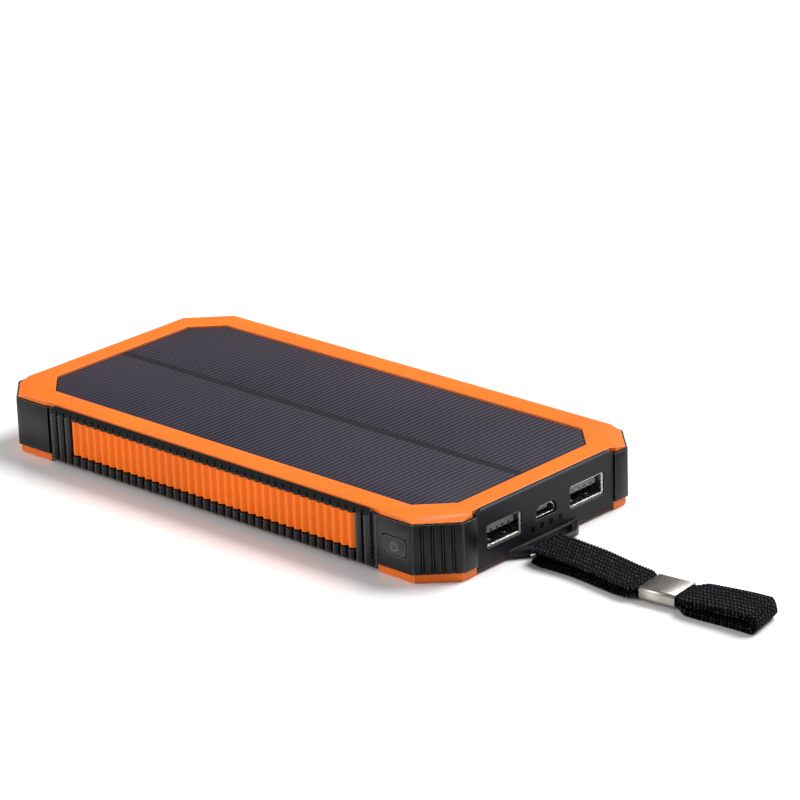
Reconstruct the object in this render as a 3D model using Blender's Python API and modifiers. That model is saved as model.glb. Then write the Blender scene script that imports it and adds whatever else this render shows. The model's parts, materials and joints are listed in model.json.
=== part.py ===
"""Solar power bank: an eight-sided sandwich case with a panel on top, ribbed grips, ports and a wrist strap.

The origin is the middle of the flat underside. +X points to the port end, -Y to the long side that carries
the power button, and +Z up through the solar panel. Everything is in metres.
"""

from math import cos, pi, radians, sin, tan

import bmesh
import bpy
from mathutils import Matrix, Vector

# Case
CASE_LENGTH = 0.164
CASE_WIDTH = 0.083
CASE_CORNER = 0.0092  # each corner is cut off by this much along both sides
FRAME_BOTTOM = 0.0025
FRAME_TOP = 0.0160
COVER_LIP_TOP = 0.0036
FRAME_WALL = 0.0041
BEZEL_TOP = 0.0173
COVER_INSET = 0.0007  # how far both orange covers stand back from the black frame
SEAM = 0.0001  # gap between stacked parts that bear on each other
FIT = 0.0003  # gap between parts that slide into each other

# Solar panel and the tray that holds it
PANEL_LENGTH = 0.1478
PANEL_WIDTH = 0.0668
PANEL_CORNER = 0.0083
PANEL_DEPTH = 0.0010  # below the bezel
PANEL_STRIP = 0.0025  # dark strip between the two cells
CELL_THICKNESS = 0.0003
BOARD_THICKNESS = 0.0010
TRAY_FLOOR = 0.0012
ADHESIVE = 0.0002

# Grips on the long sides
RIB_PITCH = 0.002745
BLACK_RIBS = ((-21, -19), (20, 21))  # first and last of the full-height ribs at each end, counted from x = 0
ORANGE_RIBS = (-18, 19)
WINDOW_START = (ORANGE_RIBS[0] - 0.5) * RIB_PITCH
WINDOW_END = (ORANGE_RIBS[1] + 0.5) * RIB_PITCH
GRIP_LENGTH = 0.1204
GRIP_FACE = 0.0425
GRIP_THICKNESS = 0.0020
GRIP_BOTTOM = 0.0007
GRIP_TOP = 0.0171
WINDOW_BOTTOM = 0.0047
WINDOW_TOP = 0.0149
INSERT_RECESS = 0.0003
RIB_DEPTH = 0.0009
INSERT_RIB_DEPTH = 0.0008
RIB_FOOT = 0.34  # half width of a rib at its foot, in pitches
RIB_CREST = 0.16  # half width of a rib at its crest, in pitches
EDGE_SLOPE = (0.0019, 0.0015)  # how far the long edges of a grip slope back, and down

# End plates
PLATE_FACE = 0.0814
PLATE_WIDTH = 0.0536
PLATE_THICKNESS = 0.0011
PLATE_BOTTOM = 0.0012
PORT_PLATE_TOP = 0.0173
REAR_PLATE_TOP = 0.0169
PLATE_GROOVE = 0.0015
PORT_PLATE_EDGE = 0.0003  # bevel along the plate's top
REAR_PLATE_EDGE = 0.0008
PLATE_SHOULDER = (0.0022, 0.0010)  # the cut at each top corner, across and down

# Ports, all on the port end
USB_SPACING = 0.0324
PORT_HEIGHT = 0.0091
USB_SHELL = (0.0140, 0.0131, 0.0057)
USB_WALL = 0.0003
USB_TONGUE = (0.0088, 0.0111, 0.0018)
MICRO_SHELL = (0.0056, 0.0075, 0.0029)
MICRO_WALL = 0.00025
PORT_RECESS = 0.0006
LIGHT_PITCH = 0.0036
LIGHT_HEIGHT = 0.0055
LIGHT_SIDE = 0.0011

# Lug for the strap: a bowed bar in front of a slot; each point is (x, distance from the lug's middle)
LUG_CENTRE = -0.0009
LUG_OUTER = ((0.0822, 0.0128), (0.0847, 0.0095), (0.0858, 0.0077), (0.0866, 0.0060))
LUG_SLOT = ((0.0821, 0.0100), (0.0843, 0.0076), (0.0851, 0.0066))
LUG_ROOT = 0.0138
BAR_START = 0.0851
BAR_END = 0.0866
BAR_BOTTOM = 0.0011
BAR_TOP = 0.0026
BAR_EDGE = 0.0004  # taken off the bar's long edges, so that the strap can turn round it
BAR_AXIS = ((BAR_START + BAR_END) / 2, 0.0, (BAR_BOTTOM + BAR_TOP) / 2)

# Strap
WEB_THICKNESS = 0.00078
WEB_WIDTH = 0.0122
BAR_WEB_WIDTH = 0.0086  # the webbing is gathered where it turns round the bar
BAR_WEB_CENTRE = -0.0032
STRAP_CENTRE = -0.0070
STRAP_HEIGHT = 0.0038
CRIMP_START = 0.1226
CRIMP_END = 0.1330
CRIMP_CENTRE = -0.0090
CRIMP_TURN = radians(6)
CRIMP_WIDTH = 0.0103
CRIMP_BOTTOM = 0.0006
CRIMP_HEIGHT = 0.0036
CRIMP_WALL = 0.0005
TAIL_END = 0.1570
TAIL_CENTRE = -0.0070
TAIL_HEIGHT = 0.0053
TAIL_SLANT = 0.20  # how far the tail's end runs back, per metre across

# Power button, on the near long side
BUTTON_X = 0.06675
BUTTON_Z = 0.00915
BUTTON_WIDTH = 0.0079
BUTTON_HEIGHT = 0.0047
BUTTON_PROUD = 0.0002
BUTTON_THICKNESS = 0.0016
BUTTON_GAP = 0.0003

# Electronics and cells
BOARD_TOP = 0.0061
PCB_THICKNESS = 0.0012
PCB_START = 0.0565
PCB_END = 0.0772
PCB_WIDTH = 0.0700
PCB_CORNER = 0.0050
CELL_BODY = (0.0590, 0.0620, 0.0084)
CELL_BOTTOM = 0.0028
CELL_MIDDLES = (-0.0395, 0.0205)
BOSS_X = 0.0735
BOSS_Y = 0.0305
BOSS_RADIUS = 0.0026
BOSS_BOTTOM = 0.0040
PILOT_RADIUS = 0.0012
PILOT_DEPTH = 0.0120
PILOT_ROOF = 0.0008  # left between a pilot hole and the tray's floor
SCREW_RADIUS = 0.0009
SCREW_HEAD_RADIUS = 0.0018

ORANGE = ("#F5812E", 0.45, 0.0)
BLACK = ("#2E2F33", 0.50, 0.0)
CELL_GREY = ("#45414E", 0.35, 0.0)
STRIP_GREY = ("#302F36", 0.40, 0.0)
NICKEL = ("#C9C9C6", 0.25, 1.0)
TONGUE_GREY = ("#8A8C90", 0.55, 0.0)
WEBBING = ("#17181A", 0.85, 0.0)
SATIN_STEEL = ("#B9B6AF", 0.30, 1.0)
BOARD_GREEN = ("#1F5A3C", 0.45, 0.0)
CHIP_BLACK = ("#202124", 0.40, 0.0)
FERRITE = ("#4A4A4C", 0.60, 0.0)
CELL_FOIL = ("#B7BCC2", 0.35, 0.9)
FOAM = ("#3A3B3D", 0.90, 0.0)
CLEAR = ("#E6ECEF", 0.15, 0.0)
LED_WHITE = ("#F2F0E6", 0.30, 0.0)
SCREW_STEEL = ("#85878B", 0.35, 1.0)
WIRE_RED = ("#B3261E", 0.45, 0.0)
WIRE_BLACK = ("#1B1B1D", 0.45, 0.0)

UPRIGHT = (0, 0, 0)
FACING_X = (radians(90), 0, radians(90))  # outline x, y become world Y, Z and its normal +X
FACING_Y = (radians(90), 0, 0)  # outline x, y become world X, Z and its normal -Y


def clear_scene():
    for item in list(bpy.data.objects):
        bpy.data.objects.remove(item)


def new_collection(name):
    made = bpy.data.collections.new(name)
    bpy.context.scene.collection.children.link(made)
    return made


clear_scene()
PARTS = new_collection("solar_power_bank")
CUTTERS = new_collection("cutters")


def linear(channel):
    return channel / 12.92 if channel <= 0.04045 else ((channel + 0.055) / 1.055) ** 2.4


def new_material(name, finish):
    colour, roughness, metallic = finish
    made = bpy.data.materials.new(name)
    made.use_nodes = True
    shader = made.node_tree.nodes["Principled BSDF"]
    rgb = [linear(int(colour[i : i + 2], 16) / 255) for i in (1, 3, 5)]
    shader.inputs["Base Color"].default_value = (*rgb, 1)
    shader.inputs["Roughness"].default_value = roughness
    shader.inputs["Metallic"].default_value = metallic
    return made


def new_part(name, mesh, finish, location=(0, 0, 0), rotation=UPRIGHT):
    """An object of the model, or, with no finish, a helper that only cuts or joins."""
    made = bpy.data.objects.new(name, mesh)
    made.location = location
    made.rotation_euler = rotation
    if finish:
        mesh.materials.append(new_material(name, finish))
        PARTS.objects.link(made)
    else:
        CUTTERS.objects.link(made)
        made.hide_render = True
        made.display_type = "WIRE"
    return made


def mesh_from(name, bm):
    mesh = bpy.data.meshes.new(name)
    bm.to_mesh(mesh)
    bm.free()
    return mesh


def box(name, low, high, finish=None):
    size = Vector(high) - Vector(low)
    bm = bmesh.new()
    bmesh.ops.create_cube(bm, size=1, matrix=Matrix.Diagonal((*size, 1)))
    return new_part(name, mesh_from(name, bm), finish, (Vector(low) + Vector(high)) / 2)


def cylinder(name, centre, radius, depth, finish=None, sides=24):
    bm = bmesh.new()
    bmesh.ops.create_cone(bm, cap_ends=True, segments=sides, radius1=radius, radius2=radius, depth=depth)
    mesh = mesh_from(name, bm)
    mesh.shade_smooth()
    mesh.set_sharp_from_angle(angle=radians(40))
    return new_part(name, mesh, finish, centre)


def solid_from_curve(name, curve):
    """The evaluated mesh of a curve, with its caps welded to its sides."""
    guide = bpy.data.objects.new(name, curve)
    CUTTERS.objects.link(guide)
    graph = bpy.context.evaluated_depsgraph_get()
    mesh = bpy.data.meshes.new_from_object(guide.evaluated_get(graph))
    bpy.data.objects.remove(guide)
    bm = bmesh.new()
    bm.from_mesh(mesh)
    bmesh.ops.remove_doubles(bm, verts=bm.verts, dist=1e-6)
    bm.to_mesh(mesh)
    bm.free()
    return mesh


def plate(name, outlines, low, high, finish=None, rotation=UPRIGHT, centre=(0, 0, 0)):
    """A flat outline, with any further outlines as its holes, made solid along its normal."""
    curve = bpy.data.curves.new(name, "CURVE")
    curve.dimensions = "2D"
    curve.fill_mode = "BOTH"
    curve.extrude = (high - low) / 2
    for outline in outlines:
        spline = curve.splines.new("POLY")
        spline.points.add(len(outline) - 1)
        for point, (x, y) in zip(spline.points, outline):
            point.co = (x, y, 0, 1)
        spline.use_cyclic_u = True
    mesh = solid_from_curve(name, curve)
    mesh.transform(Matrix.Translation((0, 0, (low + high) / 2)))
    return new_part(name, mesh, finish, centre, rotation)


def wire(name, route, radius, finish):
    """A thin wire along a smooth curve through the route's points."""
    curve = bpy.data.curves.new(name, "CURVE")
    curve.dimensions = "3D"
    curve.bevel_depth = radius
    curve.bevel_resolution = 2
    curve.use_fill_caps = True
    points = smooth_route([Vector(point) for point in route])
    spline = curve.splines.new("POLY")
    spline.points.add(len(points) - 1)
    for place, point in zip(spline.points, points):
        place.co = (*point, 1)
    return new_part(name, solid_from_curve(name, curve), finish)


def smooth_route(points, steps=4):
    """Points along a Catmull-Rom curve through the given ones."""
    ends = [points[0] * 2 - points[1], *points, points[-1] * 2 - points[-2]]
    route = []
    for before, start, end, after in zip(ends, ends[1:], ends[2:], ends[3:]):
        for step in range(steps):
            t = step / steps
            route.append(
                (
                    start * 2
                    + (end - before) * t
                    + (before * 2 - start * 5 + end * 4 - after) * t**2
                    + (start * 3 - before - end * 3 + after) * t**3
                )
                / 2
            )
    return [*route, points[-1]]


def bevel(item, width, segments=1):
    made = item.modifiers.new("edges", "BEVEL")
    made.width = width
    made.segments = segments
    made.limit_method = "ANGLE"
    made.angle_limit = radians(30)
    made.use_clamp_overlap = True


def combine(item, operation, others, solver):
    """Boolean modifiers. MANIFOLD is for the thin steps and ribs that EXACT leaves open."""
    for other in others:
        made = item.modifiers.new(other.name, "BOOLEAN")
        made.operation = operation
        made.object = other
        made.solver = solver


def subtract(item, *others, solver="EXACT"):
    combine(item, "DIFFERENCE", others, solver)


def join(item, *others, solver="EXACT"):
    combine(item, "UNION", others, solver)


def four_quarters(quarter):
    """A closed outline from its points in the +x +y quarter, listed from the +x side to the +y side."""
    left = [(-x, y) for x, y in reversed(quarter)]
    below = [(-x, -y) for x, y in quarter]
    right = [(x, -y) for x, y in reversed(quarter)]
    return quarter + left + below + right


def rectangle(width, height):
    return four_quarters([(width / 2, height / 2)])


def rounded_rectangle(width, height, radius, steps=4):
    arc = [radians(90) * i / steps for i in range(steps + 1)]
    return four_quarters(
        [(width / 2 - radius + radius * cos(a), height / 2 - radius + radius * sin(a)) for a in arc]
    )


def cut_corner_outline(length, width, corner):
    return four_quarters([(length / 2, width / 2 - corner), (length / 2 - corner, width / 2)])


def inset_corner(corner, inset):
    """The corner cut of an eight-sided outline after every side has moved in by inset."""
    return corner - inset * (2 - 2**0.5)


def notched_outline(inset, gap, side_gap, slant=0.0, grooves=0):
    """The case's outline, stepped back by a gap behind the end plates and the grips."""
    half_x, half_y = CASE_LENGTH / 2 - inset, CASE_WIDTH / 2 - inset
    corner = inset_corner(CASE_CORNER, inset)
    end_y = PLATE_WIDTH / 2 + side_gap
    side_x = GRIP_LENGTH / 2 + FIT
    return four_quarters(
        [
            (PLATE_FACE - PLATE_THICKNESS - gap, end_y),
            (half_x, end_y + slant),
            (half_x, half_y - corner),
            *corner_grooves((half_x, half_y - corner), (half_x - corner, half_y), grooves),
            (half_x - corner, half_y),
            (side_x + slant, half_y),
            (side_x, GRIP_FACE - GRIP_THICKNESS - gap),
        ]
    )


def corner_grooves(start, end, count, width=0.0009, depth=0.0005):
    """Points of evenly spaced square grooves along a corner face."""
    start, end = Vector(start), Vector(end)
    along = (end - start).normalized()
    inwards = Vector((along.y, -along.x)) * -depth
    points = []
    for i in range(1, count + 1):
        middle = start.lerp(end, i / (count + 1))
        edges = middle - along * width / 2, middle + along * width / 2
        points += [edges[0], edges[0] + inwards, edges[1] + inwards, edges[1]]
    return [tuple(point) for point in points]


def cavity_outline(gap=0.0):
    """The inside of the frame, or of a piece that fits into it with a gap."""
    corner = inset_corner(CASE_CORNER, FRAME_WALL + gap)
    wall = 2 * (FRAME_WALL + gap)
    return cut_corner_outline(CASE_LENGTH - wall, CASE_WIDTH - wall, corner)


# ---------------------------------------------------------------- case shells


def build_mid_frame():
    outer = notched_outline(0, SEAM, PLATE_GROOVE, grooves=3)
    frame = plate("mid_frame", [outer, cavity_outline()], FRAME_BOTTOM, FRAME_TOP, BLACK)
    opening = 0.0240
    ports = box("port_opening", (0.070, -opening, 0.0038), (0.085, opening, 0.0125))
    button = plate(
        "button_opening",
        [rounded_rectangle(BUTTON_WIDTH + 2 * BUTTON_GAP, BUTTON_HEIGHT + 2 * BUTTON_GAP, 0.0010)],
        -0.0050,
        0.0050,
        rotation=FACING_Y,
        centre=(BUTTON_X, -CASE_WIDTH / 2 + 0.002, BUTTON_Z),
    )
    subtract(frame, ports, button)
    return frame


def build_top_bezel():
    """The orange rim with the tray below it that holds the panel, and four screw bosses."""
    outline = notched_outline(COVER_INSET, FIT, FIT, slant=0.0012)
    bezel = plate("top_bezel", [outline], FRAME_TOP + SEAM, BEZEL_TOP, ORANGE)
    floor = BEZEL_TOP - PANEL_DEPTH - CELL_THICKNESS - BOARD_THICKNESS - 3 * ADHESIVE
    tray = plate("tray_block", [cavity_outline(FIT)], floor - TRAY_FLOOR, FRAME_TOP + 0.0008)
    recess = plate(
        "panel_recess",
        [cut_corner_outline(PANEL_LENGTH, PANEL_WIDTH, PANEL_CORNER)],
        floor,
        BEZEL_TOP + 0.001,
    )
    bosses, pilots = [], []
    for number, (x, y) in enumerate(boss_places(), 1):
        middle = (floor + BOSS_BOTTOM) / 2
        bosses.append(cylinder(f"boss_{number}", (x, y, middle), BOSS_RADIUS, floor - BOSS_BOTTOM))
        pilot_middle = floor - PILOT_ROOF - PILOT_DEPTH / 2
        pilots.append(cylinder(f"pilot_{number}", (x, y, pilot_middle), PILOT_RADIUS, PILOT_DEPTH, sides=12))
    slot = box("panel_wire_slot", (0.0600, -0.0040, floor - 0.002), (0.0640, 0.0040, floor + 0.001))
    join(bezel, tray, *bosses)
    subtract(bezel, recess, slot, *pilots)
    return bezel


def boss_places():
    return [(sx * BOSS_X, sy * BOSS_Y) for sx in (1, -1) for sy in (1, -1)]


def build_bottom_cover():
    outline = notched_outline(COVER_INSET, FIT, FIT)
    cover = plate("bottom_cover", [outline], 0, FRAME_BOTTOM - SEAM, ORANGE)
    lip = plate(
        "cover_lip",
        [cavity_outline(FIT), cavity_outline(FIT + 0.0012)],
        FRAME_BOTTOM - 0.0008,
        COVER_LIP_TOP,
    )
    inlay = plate("inlay_recess", [inlay_outline(FIT)], -0.001, 0.0012)
    holes = []
    for number, (x, y) in enumerate(boss_places(), 1):
        holes.append(cylinder(f"head_hole_{number}", (x, y, 0), SCREW_HEAD_RADIUS + FIT, 0.0030))
        holes.append(cylinder(f"shank_hole_{number}", (x, y, 0.001), SCREW_RADIUS + FIT, 0.0080, sides=12))
    join(cover, lip, solver="MANIFOLD")
    subtract(cover, inlay, *holes)
    return cover


def inlay_outline(gap=0.0):
    return cut_corner_outline(0.1120 + 2 * gap, 0.0520 + 2 * gap, 0.0070)


def build_bottom_inlay():
    return plate("bottom_inlay", [inlay_outline()], 0, 0.0011, BLACK)


# ---------------------------------------------------------------- solar panel


def build_solar_panel():
    top = BEZEL_TOP - PANEL_DEPTH
    board_top = top - CELL_THICKNESS - ADHESIVE
    board_bottom = board_top - BOARD_THICKNESS
    length, width = PANEL_LENGTH - 2 * FIT, PANEL_WIDTH - 2 * FIT
    outline = cut_corner_outline(length, width, PANEL_CORNER)
    plate("solar_panel_board", [outline], board_bottom, board_top, STRIP_GREY)
    inner = PANEL_STRIP / 2
    half = [
        (length / 2, inner),
        (length / 2, width / 2 - PANEL_CORNER),
        (length / 2 - PANEL_CORNER, width / 2),
    ]
    outline = half + [(-x, y) for x, y in reversed(half)]
    for name, turn in (("solar_cell_far", 0), ("solar_cell_near", pi)):
        plate(name, [outline], top - CELL_THICKNESS, top, CELL_GREY, rotation=(0, 0, turn))
    strip = PANEL_STRIP / 2 - SEAM
    box(
        "solar_centre_strip",
        (-length / 2, -strip, top - CELL_THICKNESS),
        (length / 2, strip, top - 0.00005),
        STRIP_GREY,
    )


# ---------------------------------------------------------------- grips


def rib_line(ribs, face, base):
    """Points along the ribs from the first to the last, as a zigzag with flat tops."""
    points = []
    foot, crest = RIB_FOOT * RIB_PITCH, RIB_CREST * RIB_PITCH
    for number in range(ribs[0], ribs[1] + 1):
        middle = number * RIB_PITCH
        points += [(middle - foot, base), (middle - crest, face)]
        points += [(middle + crest, face), (middle + foot, base)]
    return points


def grip_outline():
    """Plan of the near grip, with full-height ribs at both of its ends."""
    face, back = -GRIP_FACE, -(GRIP_FACE - GRIP_THICKNESS)
    valley = face + RIB_DEPTH
    left, right = [rib_line(ribs, face, valley) for ribs in BLACK_RIBS]
    half = GRIP_LENGTH / 2
    front = [(-half, valley), *left, (WINDOW_START - FIT, face), (WINDOW_END + FIT, face), *right]
    return [(-half, back), *front, (half, valley), (half, back)]


def build_grip(name, turn):
    grip = plate(name, [grip_outline()], GRIP_BOTTOM, GRIP_TOP, BLACK, rotation=(0, 0, turn))
    direction = -1 if turn == 0 else 1
    width = WINDOW_END - WINDOW_START + 2 * FIT
    middle_x = -direction * (WINDOW_START + WINDOW_END) / 2
    middle = (middle_x, direction * GRIP_FACE, (WINDOW_BOTTOM + WINDOW_TOP) / 2)
    window = plate(
        f"{name}_window",
        [rectangle(width, WINDOW_TOP - WINDOW_BOTTOM)],
        -0.0060,
        0.0060,
        rotation=FACING_Y,
        centre=middle,
    )
    subtract(grip, window, *edge_cutters(name, direction), solver="MANIFOLD")
    for side in (-1, 1):
        ramp = ramp_cutter(f"{name}_ramp_{'left' if side < 0 else 'right'}", side, direction)
        subtract(grip, ramp, solver="MANIFOLD")
    return grip


def edge_cutters(name, direction):
    """Long wedges that slope the upper and the lower edge of a grip."""
    back, drop = EDGE_SLOPE
    cutters = []
    for label, height, up in (("top", GRIP_TOP, 1), ("bottom", GRIP_BOTTOM, -1)):
        outline = [
            (direction * (GRIP_FACE - back), height),
            (direction * GRIP_FACE, height - up * drop),
            (direction * (GRIP_FACE + 0.001), height - up * drop),
            (direction * (GRIP_FACE + 0.001), height + up * 0.001),
            (direction * (GRIP_FACE - back), height + up * 0.001),
        ]
        cutters.append(plate(f"{name}_{label}_edge", [outline], -0.07, 0.07, rotation=FACING_X))
    return cutters


def ramp_cutter(name, side, direction):
    """Slopes the top corner of a grip down to the frame's top."""
    end = side * (GRIP_LENGTH / 2)
    outline = [
        (end - side * 0.0026, GRIP_TOP + 0.0001),
        (end - side * 0.0006, FRAME_TOP + 0.0002),
        (end + side * 0.0030, FRAME_TOP + 0.0002),
        (end + side * 0.0030, GRIP_TOP + 0.0001),
    ]
    if side > 0:
        outline.reverse()
    return plate(name, [outline], -0.0060, 0.0060, rotation=FACING_Y, centre=(0, direction * GRIP_FACE, 0))


def build_grip_insert(name, turn):
    """The orange ribbed strip that fills the grip's window."""
    face = -(GRIP_FACE - INSERT_RECESS)
    back = -(GRIP_FACE - GRIP_THICKNESS)
    valley = face + INSERT_RIB_DEPTH
    ribs = rib_line(ORANGE_RIBS, face, valley)
    start, end = WINDOW_START, WINDOW_END
    outline = [(start, back), (start, valley), *ribs, (end, valley), (end, back)]
    return plate(name, [outline], WINDOW_BOTTOM + FIT, WINDOW_TOP - FIT, ORANGE, rotation=(0, 0, turn))


# ---------------------------------------------------------------- end plates


def build_end_plate(name, turn, top, bevelled):
    """A black cover over one end, with its two top corners cut off and its top edge bevelled."""
    back = PLATE_FACE - PLATE_THICKNESS
    height = top - PLATE_BOTTOM
    middle = (top + PLATE_BOTTOM) / 2
    half = PLATE_WIDTH / 2
    across, down = PLATE_SHOULDER
    outline = [
        (-half, -height / 2),
        (half, -height / 2),
        (half, height / 2 - down),
        (half - across, height / 2),
        (-half + across, height / 2),
        (-half, height / 2 - down),
    ]
    facing = (radians(90), 0, radians(90) + turn)
    made = plate(name, [outline], back, PLATE_FACE, BLACK, facing, (0, 0, middle))
    side = -1 if turn else 1
    edge = [
        (side * (PLATE_FACE - bevelled), top),
        (side * PLATE_FACE, top - bevelled),
        (side * (PLATE_FACE + 0.001), top - bevelled),
        (side * (PLATE_FACE + 0.001), top + 0.001),
        (side * (PLATE_FACE - bevelled), top + 0.001),
    ]
    subtract(made, plate(f"{name}_edge", [edge], -0.03, 0.03, rotation=FACING_Y))
    return made


def lug_outline():
    """Plan of the strap lug: a bar across two short arms that slant out from the plate."""
    root = PLATE_FACE - PLATE_THICKNESS + 0.0002
    half = [(root, LUG_ROOT), (PLATE_FACE, LUG_ROOT), *LUG_OUTER]
    return mirrored_across(half)


def mirrored_across(half):
    """A closed outline from (x, distance) points on one side of the lug's middle, repeated on the other."""
    far = [(x, LUG_CENTRE + y) for x, y in half]
    near = [(x, LUG_CENTRE - y) for x, y in half]
    return near + far[::-1]


def build_port_end_plate():
    made = build_end_plate("port_end_plate", 0, PORT_PLATE_TOP, PORT_PLATE_EDGE)
    lug = plate("lug", [lug_outline()], BAR_BOTTOM, BAR_TOP)
    slot = plate("lug_slot", [mirrored_across(LUG_SLOT)], -0.001, 0.0060)
    join(made, lug)
    subtract(made, slot, *bar_rounding(), *port_cutters())
    return made


def bar_rounding():
    """Cutters that take the four long edges off the straight part of the lug's bar."""
    cutters = []
    edge = BAR_EDGE
    half = LUG_SLOT[-1][1]
    for x, sign_x in ((BAR_START, -1), (BAR_END, 1)):
        for z, sign_z in ((BAR_BOTTOM, -1), (BAR_TOP, 1)):
            outline = [
                (x - sign_x * edge, z),
                (x - sign_x * edge, z + sign_z * 0.0010),
                (x + sign_x * 0.0010, z + sign_z * 0.0010),
                (x + sign_x * 0.0010, z - sign_z * edge),
                (x, z - sign_z * edge),
            ]
            if sign_x == sign_z:
                outline.reverse()
            name = f"bar_edge_{len(cutters) + 1}"
            cutters.append(plate(name, [outline], -half, half, None, FACING_Y, (0, LUG_CENTRE, 0)))
    return cutters


def port_cutters():
    """Openings in the port end plate for the sockets and the four charge lights."""
    cutters = []
    clearance = 0.0003
    for number, y in enumerate(usb_places(), 1):
        outline = rounded_rectangle(USB_SHELL[1] + 2 * clearance, USB_SHELL[2] + 2 * clearance, 0.0006)
        cutters.append(port_hole(f"usb_hole_{number}", outline, y, PORT_HEIGHT))
    cutters.append(port_hole("micro_hole", micro_outline(clearance), 0, PORT_HEIGHT))
    for number, y in enumerate(light_places(), 1):
        outline = rectangle(LIGHT_SIDE, LIGHT_SIDE)
        cutters.append(port_hole(f"light_hole_{number}", outline, y, LIGHT_HEIGHT))
    return cutters


def port_hole(name, outline, y, z):
    return plate(name, [outline], 0.0780, 0.0850, rotation=FACING_X, centre=(0, y, z))


def usb_places():
    return (-USB_SPACING / 2, USB_SPACING / 2)


def light_places():
    return [(i - 1.5) * LIGHT_PITCH for i in range(4)]


# ---------------------------------------------------------------- sockets


def micro_outline(grow=0.0):
    """A flat-bottomed socket mouth whose upper corners are cut off."""
    half, high = MICRO_SHELL[1] / 2 + grow, MICRO_SHELL[2] / 2 + grow
    cut = 0.0012
    right = [(half, -high), (half, high - cut), (half - cut, high)]
    return right + [(-x, y) for x, y in reversed(right)]


def build_usb_socket(number, y):
    depth, width, height = USB_SHELL
    front = PLATE_FACE - PORT_RECESS
    outer = rounded_rectangle(width, height, 0.0005, 2)
    inner = rounded_rectangle(width - 2 * USB_WALL, height - 2 * USB_WALL, 0.0003, 2)
    shell = plate(
        f"usb_shell_{number}",
        [outer],
        front - depth,
        front,
        NICKEL,
        FACING_X,
        (0, y, PORT_HEIGHT),
    )
    hollow = plate(
        f"usb_hollow_{number}",
        [inner],
        front - depth + 0.0016,
        front + 0.001,
        rotation=FACING_X,
        centre=(0, y, PORT_HEIGHT),
    )
    subtract(shell, hollow)
    length, across, thick = USB_TONGUE
    middle = PORT_HEIGHT + 0.0009
    back = front - depth + 0.0016 + FIT
    tongue = box(
        f"usb_tongue_{number}",
        (back, y - across / 2, middle - thick / 2),
        (back + length + 0.0024, y + across / 2, middle + thick / 2),
        TONGUE_GREY,
    )
    return shell, tongue


def build_micro_socket():
    depth, width, height = MICRO_SHELL
    front = PLATE_FACE - PORT_RECESS
    shell = plate(
        "micro_usb_shell",
        [micro_outline()],
        front - depth,
        front,
        NICKEL,
        FACING_X,
        (0, 0, PORT_HEIGHT),
    )
    hollow = plate(
        "micro_hollow",
        [micro_outline(-MICRO_WALL)],
        front - depth + 0.0010,
        front + 0.001,
        rotation=FACING_X,
        centre=(0, 0, PORT_HEIGHT),
    )
    subtract(shell, hollow)
    middle = PORT_HEIGHT + 0.0002
    box(
        "micro_usb_tongue",
        (front - depth + 0.0013, -width / 4, middle - 0.0003),
        (front - 0.0008, width / 4, middle + 0.0003),
        TONGUE_GREY,
    )
    bottom = PORT_HEIGHT - height / 2
    box(
        "micro_usb_riser",
        (front - depth, -width / 2, BOARD_TOP + SEAM),
        (PCB_END - SEAM, width / 2, bottom - SEAM),
        BOARD_GREEN,
    )


# ---------------------------------------------------------------- board and what is on it


def build_circuit_board():
    outline = cut_corner_outline(PCB_END - PCB_START, PCB_WIDTH, PCB_CORNER)
    middle = ((PCB_START + PCB_END) / 2, 0, 0)
    low = BOARD_TOP - PCB_THICKNESS
    board = plate("circuit_board", [outline], low, BOARD_TOP, BOARD_GREEN, centre=middle)
    for side in (-1, 1):
        name = f"boss_room_{'near' if side < 0 else 'far'}"
        subtract(board, cylinder(name, (BOSS_X, side * BOSS_Y, BOARD_TOP), BOSS_RADIUS + FIT, 0.006))


def build_components():
    on_board = BOARD_TOP + SEAM
    box("charger_chip", (0.0600, -0.0045, on_board), (0.0650, 0.0005, on_board + 0.0015), CHIP_BLACK)
    box("boost_chip", (0.0585, 0.0240, on_board), (0.0635, 0.0290, on_board + 0.0015), CHIP_BLACK)
    inductor = box("boost_inductor", (0.0575, 0.0095, on_board), (0.0645, 0.0165, on_board + 0.0040), FERRITE)
    bevel(inductor, 0.0008)
    for number, y in enumerate((-0.0130, -0.0200), 1):
        cylinder(f"capacitor_{number}", (0.0610, y, on_board + 0.0027), 0.0025, 0.0054, NICKEL, sides=16)
    under = BOARD_TOP - PCB_THICKNESS - SEAM
    for number, y in enumerate(light_places(), 1):
        box(
            f"charge_led_{number}",
            (PCB_END - 0.0018, y - 0.0006, under - 0.0009),
            (PCB_END - 0.0002, y + 0.0006, under),
            LED_WHITE,
        )


def build_light_pipe():
    """One clear moulding behind the plate, with a pin into each light hole."""
    back, front = PCB_END + FIT, PLATE_FACE - PLATE_THICKNESS - 0.0004
    half = 2.1 * LIGHT_PITCH
    low, high = LIGHT_HEIGHT - 0.0012, LIGHT_HEIGHT + 0.0009
    pipe = box("light_pipe", (back, -half, low), (front, half, high), CLEAR)
    side = LIGHT_SIDE / 2 - 0.00015
    for number, y in enumerate(light_places(), 1):
        pin = box(
            f"light_pin_{number}",
            (front - 0.0005, y - side, LIGHT_HEIGHT - side),
            (PLATE_FACE - 0.0004, y + side, LIGHT_HEIGHT + side),
        )
        join(pipe, pin)


# ---------------------------------------------------------------- cells, pads and wires


def build_cells():
    length, width, height = CELL_BODY
    for number, x in enumerate(CELL_MIDDLES, 1):
        outline = rounded_rectangle(length, width, 0.0020, 3)
        cell = plate(
            f"battery_cell_{number}",
            [outline],
            CELL_BOTTOM,
            CELL_BOTTOM + height,
            CELL_FOIL,
            centre=(x, 0, 0),
        )
        bevel(cell, 0.0008)
    low = CELL_BOTTOM + height + SEAM
    box("foam_pad", (-0.0660, -0.0280, low), (0.0470, 0.0280, low + 0.0010), FOAM)


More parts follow.
